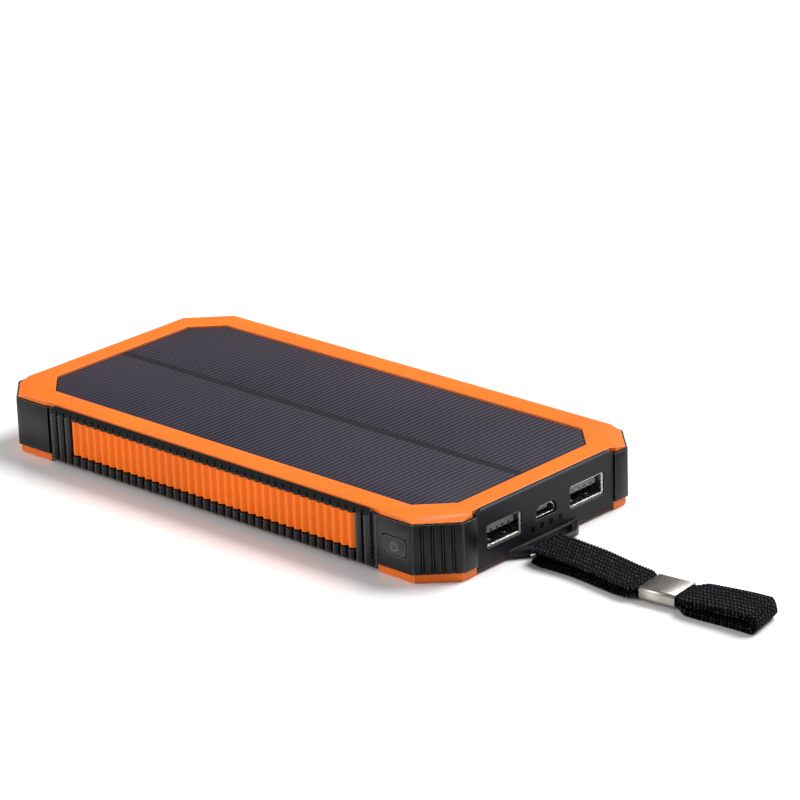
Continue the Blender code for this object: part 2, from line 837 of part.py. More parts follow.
def build_wires():
    cell_edge = CELL_MIDDLES[1] + CELL_BODY[0] / 2 + FIT
    top = BOARD_TOP + 0.0010
    for sign, y, finish in (("positive", -0.0060, WIRE_RED), ("negative", 0.0200, WIRE_BLACK)):
        route = [(cell_edge, y, 0.0078), (cell_edge + 0.0020, y, 0.0080), (cell_edge + 0.0045, y, 0.0078)]
        route += [(cell_edge + 0.0068, y, top)]
        wire(f"battery_lead_{sign}", route, 0.0006, finish)
    start = BEZEL_TOP - PANEL_DEPTH - CELL_THICKNESS - BOARD_THICKNESS - 0.0005
    for sign, y, finish in (("positive", -0.0022, WIRE_RED), ("negative", 0.0022, WIRE_BLACK)):
        route = [(0.0620, y, start), (0.0621, y, start - 0.0020), (0.0640, y * 1.2, 0.0105)]
        route += [(0.0665, y * 1.3, 0.0088), (0.0680, y * 1.4, BOARD_TOP + 0.0008)]
        wire(f"panel_lead_{sign}", route, 0.0004, finish)


def build_screws():
    """Four countersunk-style screws that clamp the case from below."""
    for number, (x, y) in enumerate(boss_places(), 1):
        name = f"case_screw_{number}"
        head = cylinder(name, (x, y, 0.0008), SCREW_HEAD_RADIUS, 0.0012, SCREW_STEEL, sides=16)
        shank = cylinder(f"screw_shank_{number}", (x, y, 0.0055), SCREW_RADIUS, 0.0090, sides=12)
        join(head, shank)
        for i, turn in enumerate((0, 90), 1):
            blade = box(f"screw_slot_{number}_{i}", (-0.0010, -0.0002, -0.0005), (0.0010, 0.0002, 0.0005))
            blade.location = (x, y, 0.0002)
            blade.rotation_euler = (0, 0, radians(turn + 20 * number))
            subtract(head, blade)


# ---------------------------------------------------------------- button


def build_button():
    """The cap with its stem, the switch it presses and the switch's own plunger."""
    face = -(CASE_WIDTH / 2 + BUTTON_PROUD)
    back = face + BUTTON_THICKNESS
    cap = plate(
        "power_button",
        [rounded_rectangle(BUTTON_WIDTH, BUTTON_HEIGHT, 0.0008)],
        -back,
        -face,
        BLACK,
        FACING_Y,
        (BUTTON_X, 0, BUTTON_Z),
    )
    bevel(cap, 0.0002)
    stem_end = -0.0362
    stem = box(
        "button_stem",
        (BUTTON_X - 0.0015, back - 0.0004, BUTTON_Z - 0.0012),
        (BUTTON_X + 0.0015, stem_end, BUTTON_Z + 0.0012),
    )
    join(cap, stem)
    plunger_end = stem_end + 0.0012
    box(
        "switch_plunger",
        (BUTTON_X - 0.0008, stem_end + SEAM, BUTTON_Z - 0.0008),
        (BUTTON_X + 0.0008, plunger_end, BUTTON_Z + 0.0008),
        TONGUE_GREY,
    )
    switch = box(
        "tact_switch",
        (BUTTON_X - 0.0030, plunger_end - 0.0004, BOARD_TOP + SEAM),
        (BUTTON_X + 0.0030, plunger_end + 0.0030, BUTTON_Z + 0.0025),
        NICKEL,
    )
    well = box(
        "plunger_well",
        (BUTTON_X - 0.0010, plunger_end - 0.0014, BUTTON_Z - 0.0010),
        (BUTTON_X + 0.0010, plunger_end + 0.0008, BUTTON_Z + 0.0010),
    )
    subtract(switch, well)


# ---------------------------------------------------------------- strap


def blend(start, end, low, high, x):
    """Eases from start to end as x goes from low to high, and holds them outside that range."""
    share = min(max((x - low) / (high - low), 0.0), 1.0)
    return start + (end - start) * share * share * (3 - 2 * share)


def strap_centre(x):
    """Where the middle of the webbing runs across, at a distance x along the strap."""
    crimp_middle = (CRIMP_START + CRIMP_END) / 2
    if x < CRIMP_START - 0.0005:
        held = CRIMP_CENTRE - tan(CRIMP_TURN) * (crimp_middle - CRIMP_START)
        near_bar = blend(BAR_WEB_CENTRE, STRAP_CENTRE, 0.0880, 0.0960, x)
        return near_bar + blend(0.0, held - STRAP_CENTRE, 0.0980, CRIMP_START - 0.0010, x)
    held = CRIMP_CENTRE + tan(CRIMP_TURN) * (CRIMP_END - crimp_middle)
    if x < CRIMP_END + 0.0005:
        return CRIMP_CENTRE + tan(CRIMP_TURN) * (x - crimp_middle)
    return blend(held, TAIL_CENTRE, CRIMP_END, TAIL_END - 0.0040, x)


def strap_width(x):
    """The webbing's width, pinched where the crimp holds it and gathered at the bar."""
    near = min(abs(x - CRIMP_START), abs(x - CRIMP_END))
    pinched = CRIMP_WIDTH - 2 * CRIMP_WALL - 2 * SEAM
    gathered = blend(WEB_WIDTH - BAR_WEB_WIDTH, 0.0, 0.0880, 0.0960, x)
    return blend(pinched, WEB_WIDTH, 0.0, 0.0045, near) - gathered


def strap_slant(x):
    """How far a line across the strap runs back, per metre across."""
    if x < CRIMP_END:
        return blend(0.0, tan(CRIMP_TURN), 0.1000, CRIMP_START - 0.0010, x)
    return blend(tan(CRIMP_TURN), TAIL_SLANT, CRIMP_END + 0.0010, TAIL_END - 0.0040, x)


def strap_piece(name, outlines):
    """A side outline of the strap made solid, one metre of its depth becoming the webbing's width."""
    made = plate(name, outlines, -0.5, 0.5, WEBBING, FACING_Y)
    for vertex in made.data.vertices:
        x = vertex.co.x
        offset = -vertex.co.z * strap_width(x)
        vertex.co.x = x - strap_slant(x) * offset
        vertex.co.z = -(strap_centre(x) + offset)
    return made


def build_strap_loop():
    """Webbing that comes back round the lug's bar, as one closed loop with a thin wall."""
    x, _, z = BAR_AXIS
    outer = z
    inner = outer - WEB_THICKNESS
    end = CRIMP_START - SEAM
    arc = [radians(90 + 180 * i / 8) for i in range(9)]
    top = [(0.1150, 0.0037), (0.1050, STRAP_HEIGHT), (0.0950, STRAP_HEIGHT)]
    turns = [(x + outer * cos(a), z + outer * sin(a)) for a in arc]
    lower = [(0.0910, 0.0), (0.0960, 0.0), (0.1030, 0.0), (0.1110, 0.0), (0.1165, 0.0002), (0.1195, 0.0005)]
    low, high = CRIMP_BOTTOM + 0.0004, CRIMP_BOTTOM + CRIMP_HEIGHT - 0.0004
    outside = [(end, low), (end, high), (0.1190, 0.0038), *top, (0.0910, STRAP_HEIGHT), *turns, *lower]
    upper = [(x_at, height - WEB_THICKNESS) for x_at, height in [*top[1:], (0.0910, STRAP_HEIGHT)]]
    inside = [(x_at, WEB_THICKNESS) for x_at, _ in lower[:3]] + [(0.1110, 0.0011), (0.1140, 0.0018)]
    inside += [*upper, *[(x + inner * cos(a), z + inner * sin(a)) for a in arc]]
    return strap_piece("strap_loop", [outside, inside])


def build_strap_tail():
    """The free end beyond the crimp, folded over into a thick rounded tip."""
    start, end, top = CRIMP_END + SEAM, TAIL_END, TAIL_HEIGHT
    outline = [(start, CRIMP_BOTTOM + 0.0004), (start + 0.0030, 0.0003), (start + 0.0070, 0.0), (0.1450, 0.0)]
    outline += [(end - 0.0024, 0.0), (end - 0.0007, 0.0008), (end, top / 2), (end - 0.0007, top - 0.0008)]
    outline += [(end - 0.0024, top), (0.1450, top - 0.0004), (start + 0.0070, top - 0.0007)]
    outline += [(start + 0.0030, top - 0.0010), (start, CRIMP_BOTTOM + CRIMP_HEIGHT - 0.0004)]
    return strap_piece("strap_tail", [outline])


def build_crimp():
    """A flattened metal tube closed round both layers of webbing, with the webbing's core in it."""
    middle = (CRIMP_START + CRIMP_END) / 2
    half = (CRIMP_END - CRIMP_START) / 2
    centre = (middle, CRIMP_CENTRE, CRIMP_BOTTOM + CRIMP_HEIGHT / 2)
    facing = (radians(90), 0, radians(90) + CRIMP_TURN)
    outer = rounded_rectangle(CRIMP_WIDTH, CRIMP_HEIGHT, 0.0012)
    inner = rounded_rectangle(CRIMP_WIDTH - 2 * CRIMP_WALL, CRIMP_HEIGHT - 2 * CRIMP_WALL, 0.0008)
    plate("strap_crimp", [outer, inner], -half, half, SATIN_STEEL, facing, centre)
    room = 2 * (CRIMP_WALL + SEAM)
    core = rounded_rectangle(CRIMP_WIDTH - room, CRIMP_HEIGHT - room, 0.0007)
    plate("strap_core", [core], SEAM - half, half - SEAM, WEBBING, facing, centre)


def main():
    build_mid_frame()
    build_top_bezel()
    build_bottom_cover()
    build_bottom_inlay()
    build_solar_panel()
    for side, turn in (("near", 0), ("far", pi)):
        build_grip(f"grip_{side}", turn)
        build_grip_insert(f"grip_insert_{side}", turn)
    build_port_end_plate()
    build_end_plate("rear_end_plate", pi, REAR_PLATE_TOP, REAR_PLATE_EDGE)
    for number, y in enumerate(usb_places(), 1):
        build_usb_socket(number, y)
    build_micro_socket()
    build_circuit_board()
    build_components()
    build_light_pipe()
    build_cells()
    build_wires()
    build_screws()
    build_button()
    build_strap_loop()
    build_crimp()
    build_strap_tail()


main()
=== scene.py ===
"""Looks of a solar power bank: an eight-sided sandwich case, ribbed grips, sockets and a webbing wrist strap.

Everything is in metres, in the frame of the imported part: +X towards the socket end, -Y towards the side with the
power button, +Z up through the solar panel, and the origin under the middle of the case.
"""

from __future__ import annotations

import json
import logging
import math
from collections.abc import Callable, Iterable, Sequence
from dataclasses import dataclass
from enum import Enum

import bmesh
import bpy
from mathutils import Matrix, Vector

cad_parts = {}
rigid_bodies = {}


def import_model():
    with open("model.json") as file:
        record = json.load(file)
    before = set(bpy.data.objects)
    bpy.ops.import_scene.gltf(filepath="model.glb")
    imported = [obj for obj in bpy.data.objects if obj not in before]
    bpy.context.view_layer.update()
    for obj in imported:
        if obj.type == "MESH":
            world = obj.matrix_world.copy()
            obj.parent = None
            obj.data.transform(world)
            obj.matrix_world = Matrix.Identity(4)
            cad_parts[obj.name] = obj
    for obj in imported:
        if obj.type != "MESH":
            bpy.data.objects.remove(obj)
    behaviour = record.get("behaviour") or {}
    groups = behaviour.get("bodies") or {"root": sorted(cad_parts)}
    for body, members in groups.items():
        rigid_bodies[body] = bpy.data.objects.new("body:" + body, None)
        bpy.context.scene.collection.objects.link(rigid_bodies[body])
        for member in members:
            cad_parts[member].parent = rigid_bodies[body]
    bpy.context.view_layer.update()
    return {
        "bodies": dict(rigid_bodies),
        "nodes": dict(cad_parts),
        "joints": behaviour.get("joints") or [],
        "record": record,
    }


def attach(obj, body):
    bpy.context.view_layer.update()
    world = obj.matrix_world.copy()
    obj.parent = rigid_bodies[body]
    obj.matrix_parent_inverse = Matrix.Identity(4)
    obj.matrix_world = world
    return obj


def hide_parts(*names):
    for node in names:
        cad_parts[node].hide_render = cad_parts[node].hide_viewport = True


LOG = logging.getLogger("solar_power_bank")
MM = 0.001
Point = tuple[float, float]


class Body(Enum):
    """The moving bodies of the power bank."""

    CASE = "case"
    BUTTON = "power_button"
    STRAP = "strap"


class Facing(Enum):
    """Turns that stand a flat outline up: its own x and y become the two named world axes."""

    TOP = Matrix.Identity(4)
    SOCKET_END = Matrix(((0, 0, 1, 0), (1, 0, 0, 0), (0, 1, 0, 0), (0, 0, 0, 1)))
    BUTTON_SIDE = Matrix(((1, 0, 0, 0), (0, 0, -1, 0), (0, 1, 0, 0), (0, 0, 0, 1)))


# ---------------------------------------------------------------- small helpers


def linear(colour: str) -> tuple[float, float, float, float]:
    """Turn an sRGB hex colour to linear red, green, blue and alpha.

    Args:
        colour: the colour as "#RRGGBB".

    Returns:
        The four linear channels.
    """
    channels = [int(colour[i : i + 2], 16) / 255 for i in (1, 3, 5)]
    red, green, blue = (c / 12.92 if c <= 0.04045 else ((c + 0.055) / 1.055) ** 2.4 for c in channels)
    return red, green, blue, 1.0


def add(tree: bpy.types.NodeTree, kind: str, settings: dict | None = None, inputs: dict | None = None) -> bpy.types.Node:
    """Add one node to a material with its settings and links.

    Args:
        tree: the node tree that it goes into.
        kind: the node's type without the leading "ShaderNode".
        settings: properties of the node itself.
        inputs: for each input, by name or number, a value or the output that feeds it.

    Returns:
        The new node.
    """
    node = tree.nodes.new("ShaderNode" + kind)
    for name, value in (settings or {}).items():
        setattr(node, name, value)
    for name, value in (inputs or {}).items():
        if isinstance(value, bpy.types.NodeSocket):
            tree.links.new(value, node.inputs[name])
        else:
            node.inputs[name].default_value = value
    return node


def ramp(tree: bpy.types.NodeTree, factor: bpy.types.NodeSocket, stops: Sequence[tuple[float, str]]) -> bpy.types.NodeSocket:
    """Colour a factor with a row of stops.

    Args:
        tree: the material's node tree.
        factor: the value to colour.
        stops: positions with their sRGB hex colours.

    Returns:
        The colour output.
    """
    node = add(tree, "ValToRGB", inputs={0: factor})
    elements = node.color_ramp.elements
    while len(elements) < len(stops):
        elements.new(0.5)
    for element, (position, colour) in zip(elements, stops):
        element.position = position
        element.color = linear(colour)
    return node.outputs[0]


def four_quarters(quarter: Sequence[Point]) -> list[Point]:
    """Close an outline from its points in the +x +y quarter, listed from the +x side to the +y side."""
    left = [(-x, y) for x, y in reversed(quarter)]
    below = [(-x, -y) for x, y in quarter]
    right = [(x, -y) for x, y in reversed(quarter)]
    return [*quarter, *left, *below, *right]


def rounded(width: float, height: float, radius: float, steps: int = 6) -> list[Point]:
    """Outline a rectangle with rounded corners, centred on zero."""
    arc = [math.radians(90) * i / steps for i in range(steps + 1)]
    x, y = width / 2 - radius, height / 2 - radius
    return four_quarters([(x + radius * math.cos(a), y + radius * math.sin(a)) for a in arc])


def cut_corner(length: float, width: float, corner: float) -> list[Point]:
    """Outline a rectangle whose four corners are cut off at 45 degrees."""
    return four_quarters([(length / 2, width / 2 - corner), (length / 2 - corner, width / 2)])


def prism(outline: Sequence[Point], low: float, high: float, facing: Facing = Facing.TOP) -> bmesh.types.BMesh:
    """Extrude a flat outline from low to high along its normal.

    Args:
        outline: the corners in order.
        low: where the solid starts along the normal.
        high: where it ends.
        facing: which way the outline looks.

    Returns:
        A closed mesh with outward faces.
    """
    bm = bmesh.new()
    face = bm.faces.new([bm.verts.new((x, y, low)) for x, y in outline])
    grown = bmesh.ops.extrude_face_region(bm, geom=[face])
    moved = [item for item in grown["geom"] if isinstance(item, bmesh.types.BMVert)]
    bmesh.ops.translate(bm, verts=moved, vec=(0, 0, high - low))
    bmesh.ops.transform(bm, matrix=facing.value, verts=bm.verts)
    bmesh.ops.recalc_face_normals(bm, faces=bm.faces)
    return bm


def bevel(bm: bmesh.types.BMesh, width: float, wanted: Callable[[bmesh.types.BMEdge], bool], segments: int = 3) -> None:
    """Round the edges that a test picks out."""
    edges = [edge for edge in bm.edges if wanted(edge)]
    bmesh.ops.bevel(
        bm,
        geom=edges,
        offset=width,
        offset_type="OFFSET",
        segments=segments,
        profile=0.5,
        affect="EDGES",
        material=-1,
        clamp_overlap=True,
    )


def sharp(edge: bmesh.types.BMEdge, degrees: float = 30) -> bool:
    """Tell whether two faces meet at an edge at more than an angle."""
    return len(edge.link_faces) == 2 and edge.calc_face_angle(0.0) > math.radians(degrees)


def slice_off(bm: bmesh.types.BMesh, point: Vector, normal: Vector) -> None:
    """Cut a solid by a plane, throw away what lies on the normal's side, and close the cut."""
    geometry = [*bm.verts, *bm.edges, *bm.faces]
    cut = bmesh.ops.bisect_plane(bm, geom=geometry, plane_co=point, plane_no=normal, clear_outer=True)
    rim = [item for item in cut["geom_cut"] if isinstance(item, bmesh.types.BMEdge)]
    bmesh.ops.holes_fill(bm, edges=rim)
    bmesh.ops.recalc_face_normals(bm, faces=bm.faces)


def as_object(name: str, bm: bmesh.types.BMesh) -> bpy.types.Object:
    """Put a mesh into the scene under a name and free its working copy."""
    mesh = bpy.data.meshes.new(name)
    bm.to_mesh(mesh)
    bm.free()
    made = bpy.data.objects.new(name, mesh)
    bpy.context.scene.collection.objects.link(made)
    return made


def carved(solid: bpy.types.Object, cutters: Iterable[bmesh.types.BMesh], solver: str = "EXACT") -> bpy.types.Object:
    """Cut solids out of an object and keep the result as its mesh.

    Args:
        solid: the object to cut.
        cutters: closed meshes to take away.
        solver: the Boolean modifier's solver.

    Returns:
        The same object.
    """
    helpers = []
    for number, cutter in enumerate(cutters):
        helper = as_object(f"{solid.name}_cutter_{number}", cutter)
        made = solid.modifiers.new(helper.name, "BOOLEAN")
        made.operation = "DIFFERENCE"
        made.object = helper
        made.solver = solver
        helpers.append(helper)
    settle(solid)
    for helper in helpers:
        bpy.data.objects.remove(helper)
    return solid


def merge(bm: bmesh.types.BMesh, other: bmesh.types.BMesh) -> None:
    """Add another mesh to one and free it."""
    mesh = bpy.data.meshes.new("merged")
    other.to_mesh(mesh)
    other.free()
    bm.from_mesh(mesh)
    bpy.data.meshes.remove(mesh)


def settle(item: bpy.types.Object) -> None:
    """Apply an object's modifiers to its mesh."""
    graph = bpy.context.evaluated_depsgraph_get()
    item.data = bpy.data.meshes.new_from_object(item.evaluated_get(graph))
    item.modifiers.clear()


def dress(
    item: bpy.types.Object,
    finish: bpy.types.Material,
    body: Body,
    replaces: Sequence[str] = (),
    smooth: float | None = 32,
) -> bpy.types.Object:
    """Give a new piece its finish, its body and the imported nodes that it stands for.

    Args:
        item: the piece, in its place.
        finish: its material.
        body: the body it rides on.
        replaces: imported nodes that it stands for.
        smooth: edges flatter than this angle in degrees are shaded smooth; None leaves it faceted.

    Returns:
        The same piece.
    """
    item.data.materials.clear()
    item.data.materials.append(finish)
    if smooth is not None:
        item.data.shade_smooth()
        item.data.set_sharp_from_angle(angle=math.radians(smooth))
    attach(item, body.value)
    if replaces:
        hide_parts(*replaces)
    LOG.info("%s on %s, %d faces", item.name, body.value, len(item.data.polygons))
    return item


# ---------------------------------------------------------------- finishes


@dataclass(frozen=True)
class Finish:
    """What every finish shares: a name, a colour, how rough it is and how it refracts."""

    name: str
    colour: str
    roughness: float
    metallic: float = 0.0
    coat: float = 0.0
    specular: float = 0.5
    edge_mm: float = 0.24  # a moulded or pressed edge is never sharper than this

    def shader(self) -> tuple[bpy.types.Material, bpy.types.NodeTree, bpy.types.Node, bpy.types.NodeSocket]:
        """Start the material.

        Returns:
            The material, its tree, its shader and the coordinates fixed to the piece, in millimetres.
        """
        made = bpy.data.materials.new(self.name)
        made.use_nodes = True
        tree = made.node_tree
        shader = tree.nodes["Principled BSDF"]
        shader.inputs["Base Color"].default_value = linear(self.colour)
        shader.inputs["Roughness"].default_value = self.roughness
        shader.inputs["Metallic"].default_value = self.metallic
        shader.inputs["Specular IOR Level"].default_value = self.specular
        shader.inputs["Coat Weight"].default_value = self.coat
        shader.inputs["Coat Roughness"].default_value = 0.12
        place = add(tree, "TexCoord").outputs["Object"]
        scaled = add(tree, "VectorMath", {"operation": "SCALE"}, {0: place, "Scale": 1 / MM}).outputs[0]
        return made, tree, shader, scaled

    def rounded_edge(self, tree: bpy.types.NodeTree) -> bpy.types.NodeSocket:
        """Return a normal that turns softly round the piece's edges, as a moulding's small radius does."""
        return add(tree, "Bevel", {"samples": 4}, {"Radius": self.edge_mm * MM}).outputs[0]


@dataclass(frozen=True)
class MouldedPlastic(Finish):
    """Injection-moulded ABS: even colour with a faint cloudiness, the fine grain of a spark-eroded mould, and, where an
    edge colour is given, a painted highlight along the rounded edges.
    """

    grain_mm: float = 0.35  # coarser than the real 0.05 mm grain, so that it shows
    grain_depth_mm: float = 0.006
    cloud: float = 0.06  # how far the colour strays from place to place
    edge: str = ""  # paler colour painted along the rounded edges as a highlight

    def material(self) -> bpy.types.Material:
        """Build the material."""
        made, tree, shader, place = self.shader()
        cloud = add(tree, "TexNoise", inputs={"Vector": place, "Scale": 1 / 22, "Detail": 3.0}).outputs["Fac"]
        value = add(tree, "MapRange", inputs={0: cloud, 1: 0.3, 2: 0.7, 3: 1 - self.cloud, 4: 1 + self.cloud}).outputs[0]
        tint = add(tree, "HueSaturation", inputs={"Color": linear(self.colour), "Value": value}).outputs[0]
        turned = self.rounded_edge(tree)
        # painted highlight: the edge colour is mixed in where the rounded normal turns away from the flat one
        if self.edge:
            flat = add(tree, "NewGeometry").outputs["Normal"]
            along = add(tree, "VectorMath", {"operation": "DOT_PRODUCT"}, {0: turned, 1: flat}).outputs["Value"]
            edge_highlight_mask = add(tree, "MapRange", inputs={0: along, 1: 0.99, 2: 0.93, 3: 0.0, 4: 1.0}).outputs[0]
            tint = add(tree, "Mix", {"data_type": "RGBA"}, {0: edge_highlight_mask, 6: tint, 7: linear(self.edge)}).outputs[2]
        tree.links.new(tint, shader.inputs["Base Color"])
        grain = add(tree, "TexNoise", inputs={"Vector": place, "Scale": 1 / self.grain_mm, "Detail": 2.0}).outputs["Fac"]
        spread = {0: grain, 1: 0.3, 2: 0.7, 3: self.roughness - 0.05, 4: self.roughness + 0.06}
        tree.links.new(add(tree, "MapRange", inputs=spread).outputs[0], shader.inputs["Roughness"])
        settings = {"Height": grain, "Distance": self.grain_depth_mm * MM, "Normal": turned}
        tree.links.new(add(tree, "Bump", inputs=settings).outputs[0], shader.inputs["Normal"])
        return made


@dataclass(frozen=True)
class CoatedCell(Finish):
    """Monocrystalline cell under a satin epoxy coat: slate violet with pale printed contact fingers across it."""

    finger_pitch_mm: float = 1.63
    finger_width_mm: float = 0.30
    finger: str = "#4D4A58"

    def material(self) -> bpy.types.Material:
        """Build the material."""
        made, tree, shader, place = self.shader()
        along = add(tree, "SeparateXYZ", inputs={0: place}).outputs["X"]
        turns = add(tree, "Math", {"operation": "DIVIDE"}, {0: along, 1: self.finger_pitch_mm}).outputs[0]
        phase = add(tree, "Math", {"operation": "PINGPONG"}, {0: turns, 1: 0.5}).outputs[0]
        edge = self.finger_width_mm / self.finger_pitch_mm / 2
        line = add(tree, "MapRange", {"interpolation_type": "SMOOTHSTEP"}, {0: phase, 1: edge * 1.5, 2: edge * 0.5, 3: 0.0, 4: 1.0})
        cloud = add(tree, "TexNoise", inputs={"Vector": place, "Scale": 1 / 30, "Detail": 4.0}).outputs["Fac"]
        ground = ramp(tree, cloud, [(0.3, "#201D27"), (0.7, self.colour)])
        mixed = add(tree, "Mix", {"data_type": "RGBA"}, {0: line.outputs[0], 6: ground, 7: linear(self.finger)})
        tree.links.new(mixed.outputs[2], shader.inputs["Base Color"])
        speck = add(tree, "TexNoise", inputs={"Vector": place, "Scale": 2.2, "Detail": 2.0}).outputs["Fac"]
        height = add(tree, "Math", {"operation": "MULTIPLY_ADD"}, {0: speck, 1: 0.25, 2: line.outputs[0]}).outputs[0]
        bump = add(tree, "Bump", inputs={"Height": height, "Distance": 0.02 * MM})
        tree.links.new(bump.outputs[0], shader.inputs["Normal"])
        return made


@dataclass(frozen=True)
class SheetMetal(Finish):
    """Plated sheet, brushed along one axis: long fine scratches that pull the highlights out across them."""

    brushed_along: tuple[float, float, float] = (0.08, 1.0, 1.0)
    scratch_mm: float = 0.16
    dark: str = "#8F8C86"

    def material(self) -> bpy.types.Material:
        """Build the material."""
        made, tree, shader, place = self.shader()
        stretch = add(tree, "Mapping", inputs={"Vector": place, "Scale": self.brushed_along}).outputs[0]
        scratch = add(tree, "TexNoise", inputs={"Vector": stretch, "Scale": 1 / self.scratch_mm, "Detail": 3.0}).outputs["Fac"]
        tree.links.new(ramp(tree, scratch, [(0.3, self.dark), (0.65, self.colour)]), shader.inputs["Base Color"])
        spread = {0: scratch, 1: 0.3, 2: 0.7, 3: self.roughness - 0.06, 4: self.roughness + 0.12}
        tree.links.new(add(tree, "MapRange", inputs=spread).outputs[0], shader.inputs["Roughness"])
        settings = {"Height": scratch, "Distance": 0.004 * MM, "Normal": self.rounded_edge(tree)}
        tree.links.new(add(tree, "Bump", inputs=settings).outputs[0], shader.inputs["Normal"])
        return made


@dataclass(frozen=True)
class Webbing(Finish):
    """Narrow woven polyester: cross ribs of weft about a millimetre apart, split by warp yarns, with stray pale fibres."""

    rib_mm: float = 1.05
    yarn_mm: float = 0.85
    fibre: str = "#54555B"

    def material(self) -> bpy.types.Material:
        """Build the material; the UV map holds millimetres along and across the strap."""
        made, tree, shader, _ = self.shader()
        uv = add(tree, "UVMap", {"uv_map": "strap"}).outputs[0]
        parts = add(tree, "SeparateXYZ", inputs={0: uv})
        along = add(tree, "Math", {"operation": "MULTIPLY"}, {0: parts.outputs["X"], 1: 2 * math.pi / self.rib_mm}).outputs[0]
        across = add(tree, "Math", {"operation": "MULTIPLY"}, {0: parts.outputs["Y"], 1: math.pi / self.yarn_mm}).outputs[0]
        ribs = add(tree, "Math", {"operation": "SINE"}, {0: along}).outputs[0]
        yarns = add(tree, "Math", {"operation": "SINE"}, {0: across}).outputs[0]
        weave = add(tree, "Math", {"operation": "MULTIPLY"}, {0: ribs, 1: yarns}).outputs[0]
        fuzz = add(tree, "TexNoise", inputs={"Vector": uv, "Scale": 2.1, "Detail": 4.0, "Roughness": 0.75}).outputs["Fac"]
        woven = add(tree, "Math", {"operation": "MULTIPLY_ADD"}, {0: weave, 1: 0.13, 2: fuzz}).outputs[0]
        colour = ramp(tree, woven, [(0.36, "#030304"), (0.54, self.colour), (0.72, self.fibre)])
        tree.links.new(colour, shader.inputs["Base Color"])
        height = add(tree, "Math", {"operation": "MULTIPLY_ADD"}, {0: fuzz, 1: 2.4, 2: weave}).outputs[0]
        bump = add(tree, "Bump", inputs={"Height": height, "Distance": 0.15 * MM, "Strength": 1.0})
        tree.links.new(bump.outputs[0], shader.inputs["Normal"])
        return made


@dataclass(frozen=True)
class Plain(Finish):
    """A small or hidden part: its own colour with a fine mottle, such as foam cells, solder mask or cast resin."""

    mottle_mm: float = 0.8
    contrast: float = 0.15
    depth_mm: float = 0.02
    alpha: float = 1.0

    def material(self) -> bpy.types.Material:
        """Build the material."""
        made, tree, shader, place = self.shader()
        noise = add(tree, "TexNoise", inputs={"Vector": place, "Scale": 1 / self.mottle_mm, "Detail": 3.0}).outputs["Fac"]
        value = add(tree, "MapRange", inputs={0: noise, 1: 0.3, 2: 0.7, 3: 1 - self.contrast, 4: 1 + self.contrast}).outputs[0]
        tint = add(tree, "HueSaturation", inputs={"Color": linear(self.colour), "Value": value}).outputs[0]
        tree.links.new(tint, shader.inputs["Base Color"])
        bump = add(tree, "Bump", inputs={"Height": noise, "Distance": self.depth_mm * MM})
        tree.links.new(bump.outputs[0], shader.inputs["Normal"])
        shader.inputs["Alpha"].default_value = self.alpha
        return made


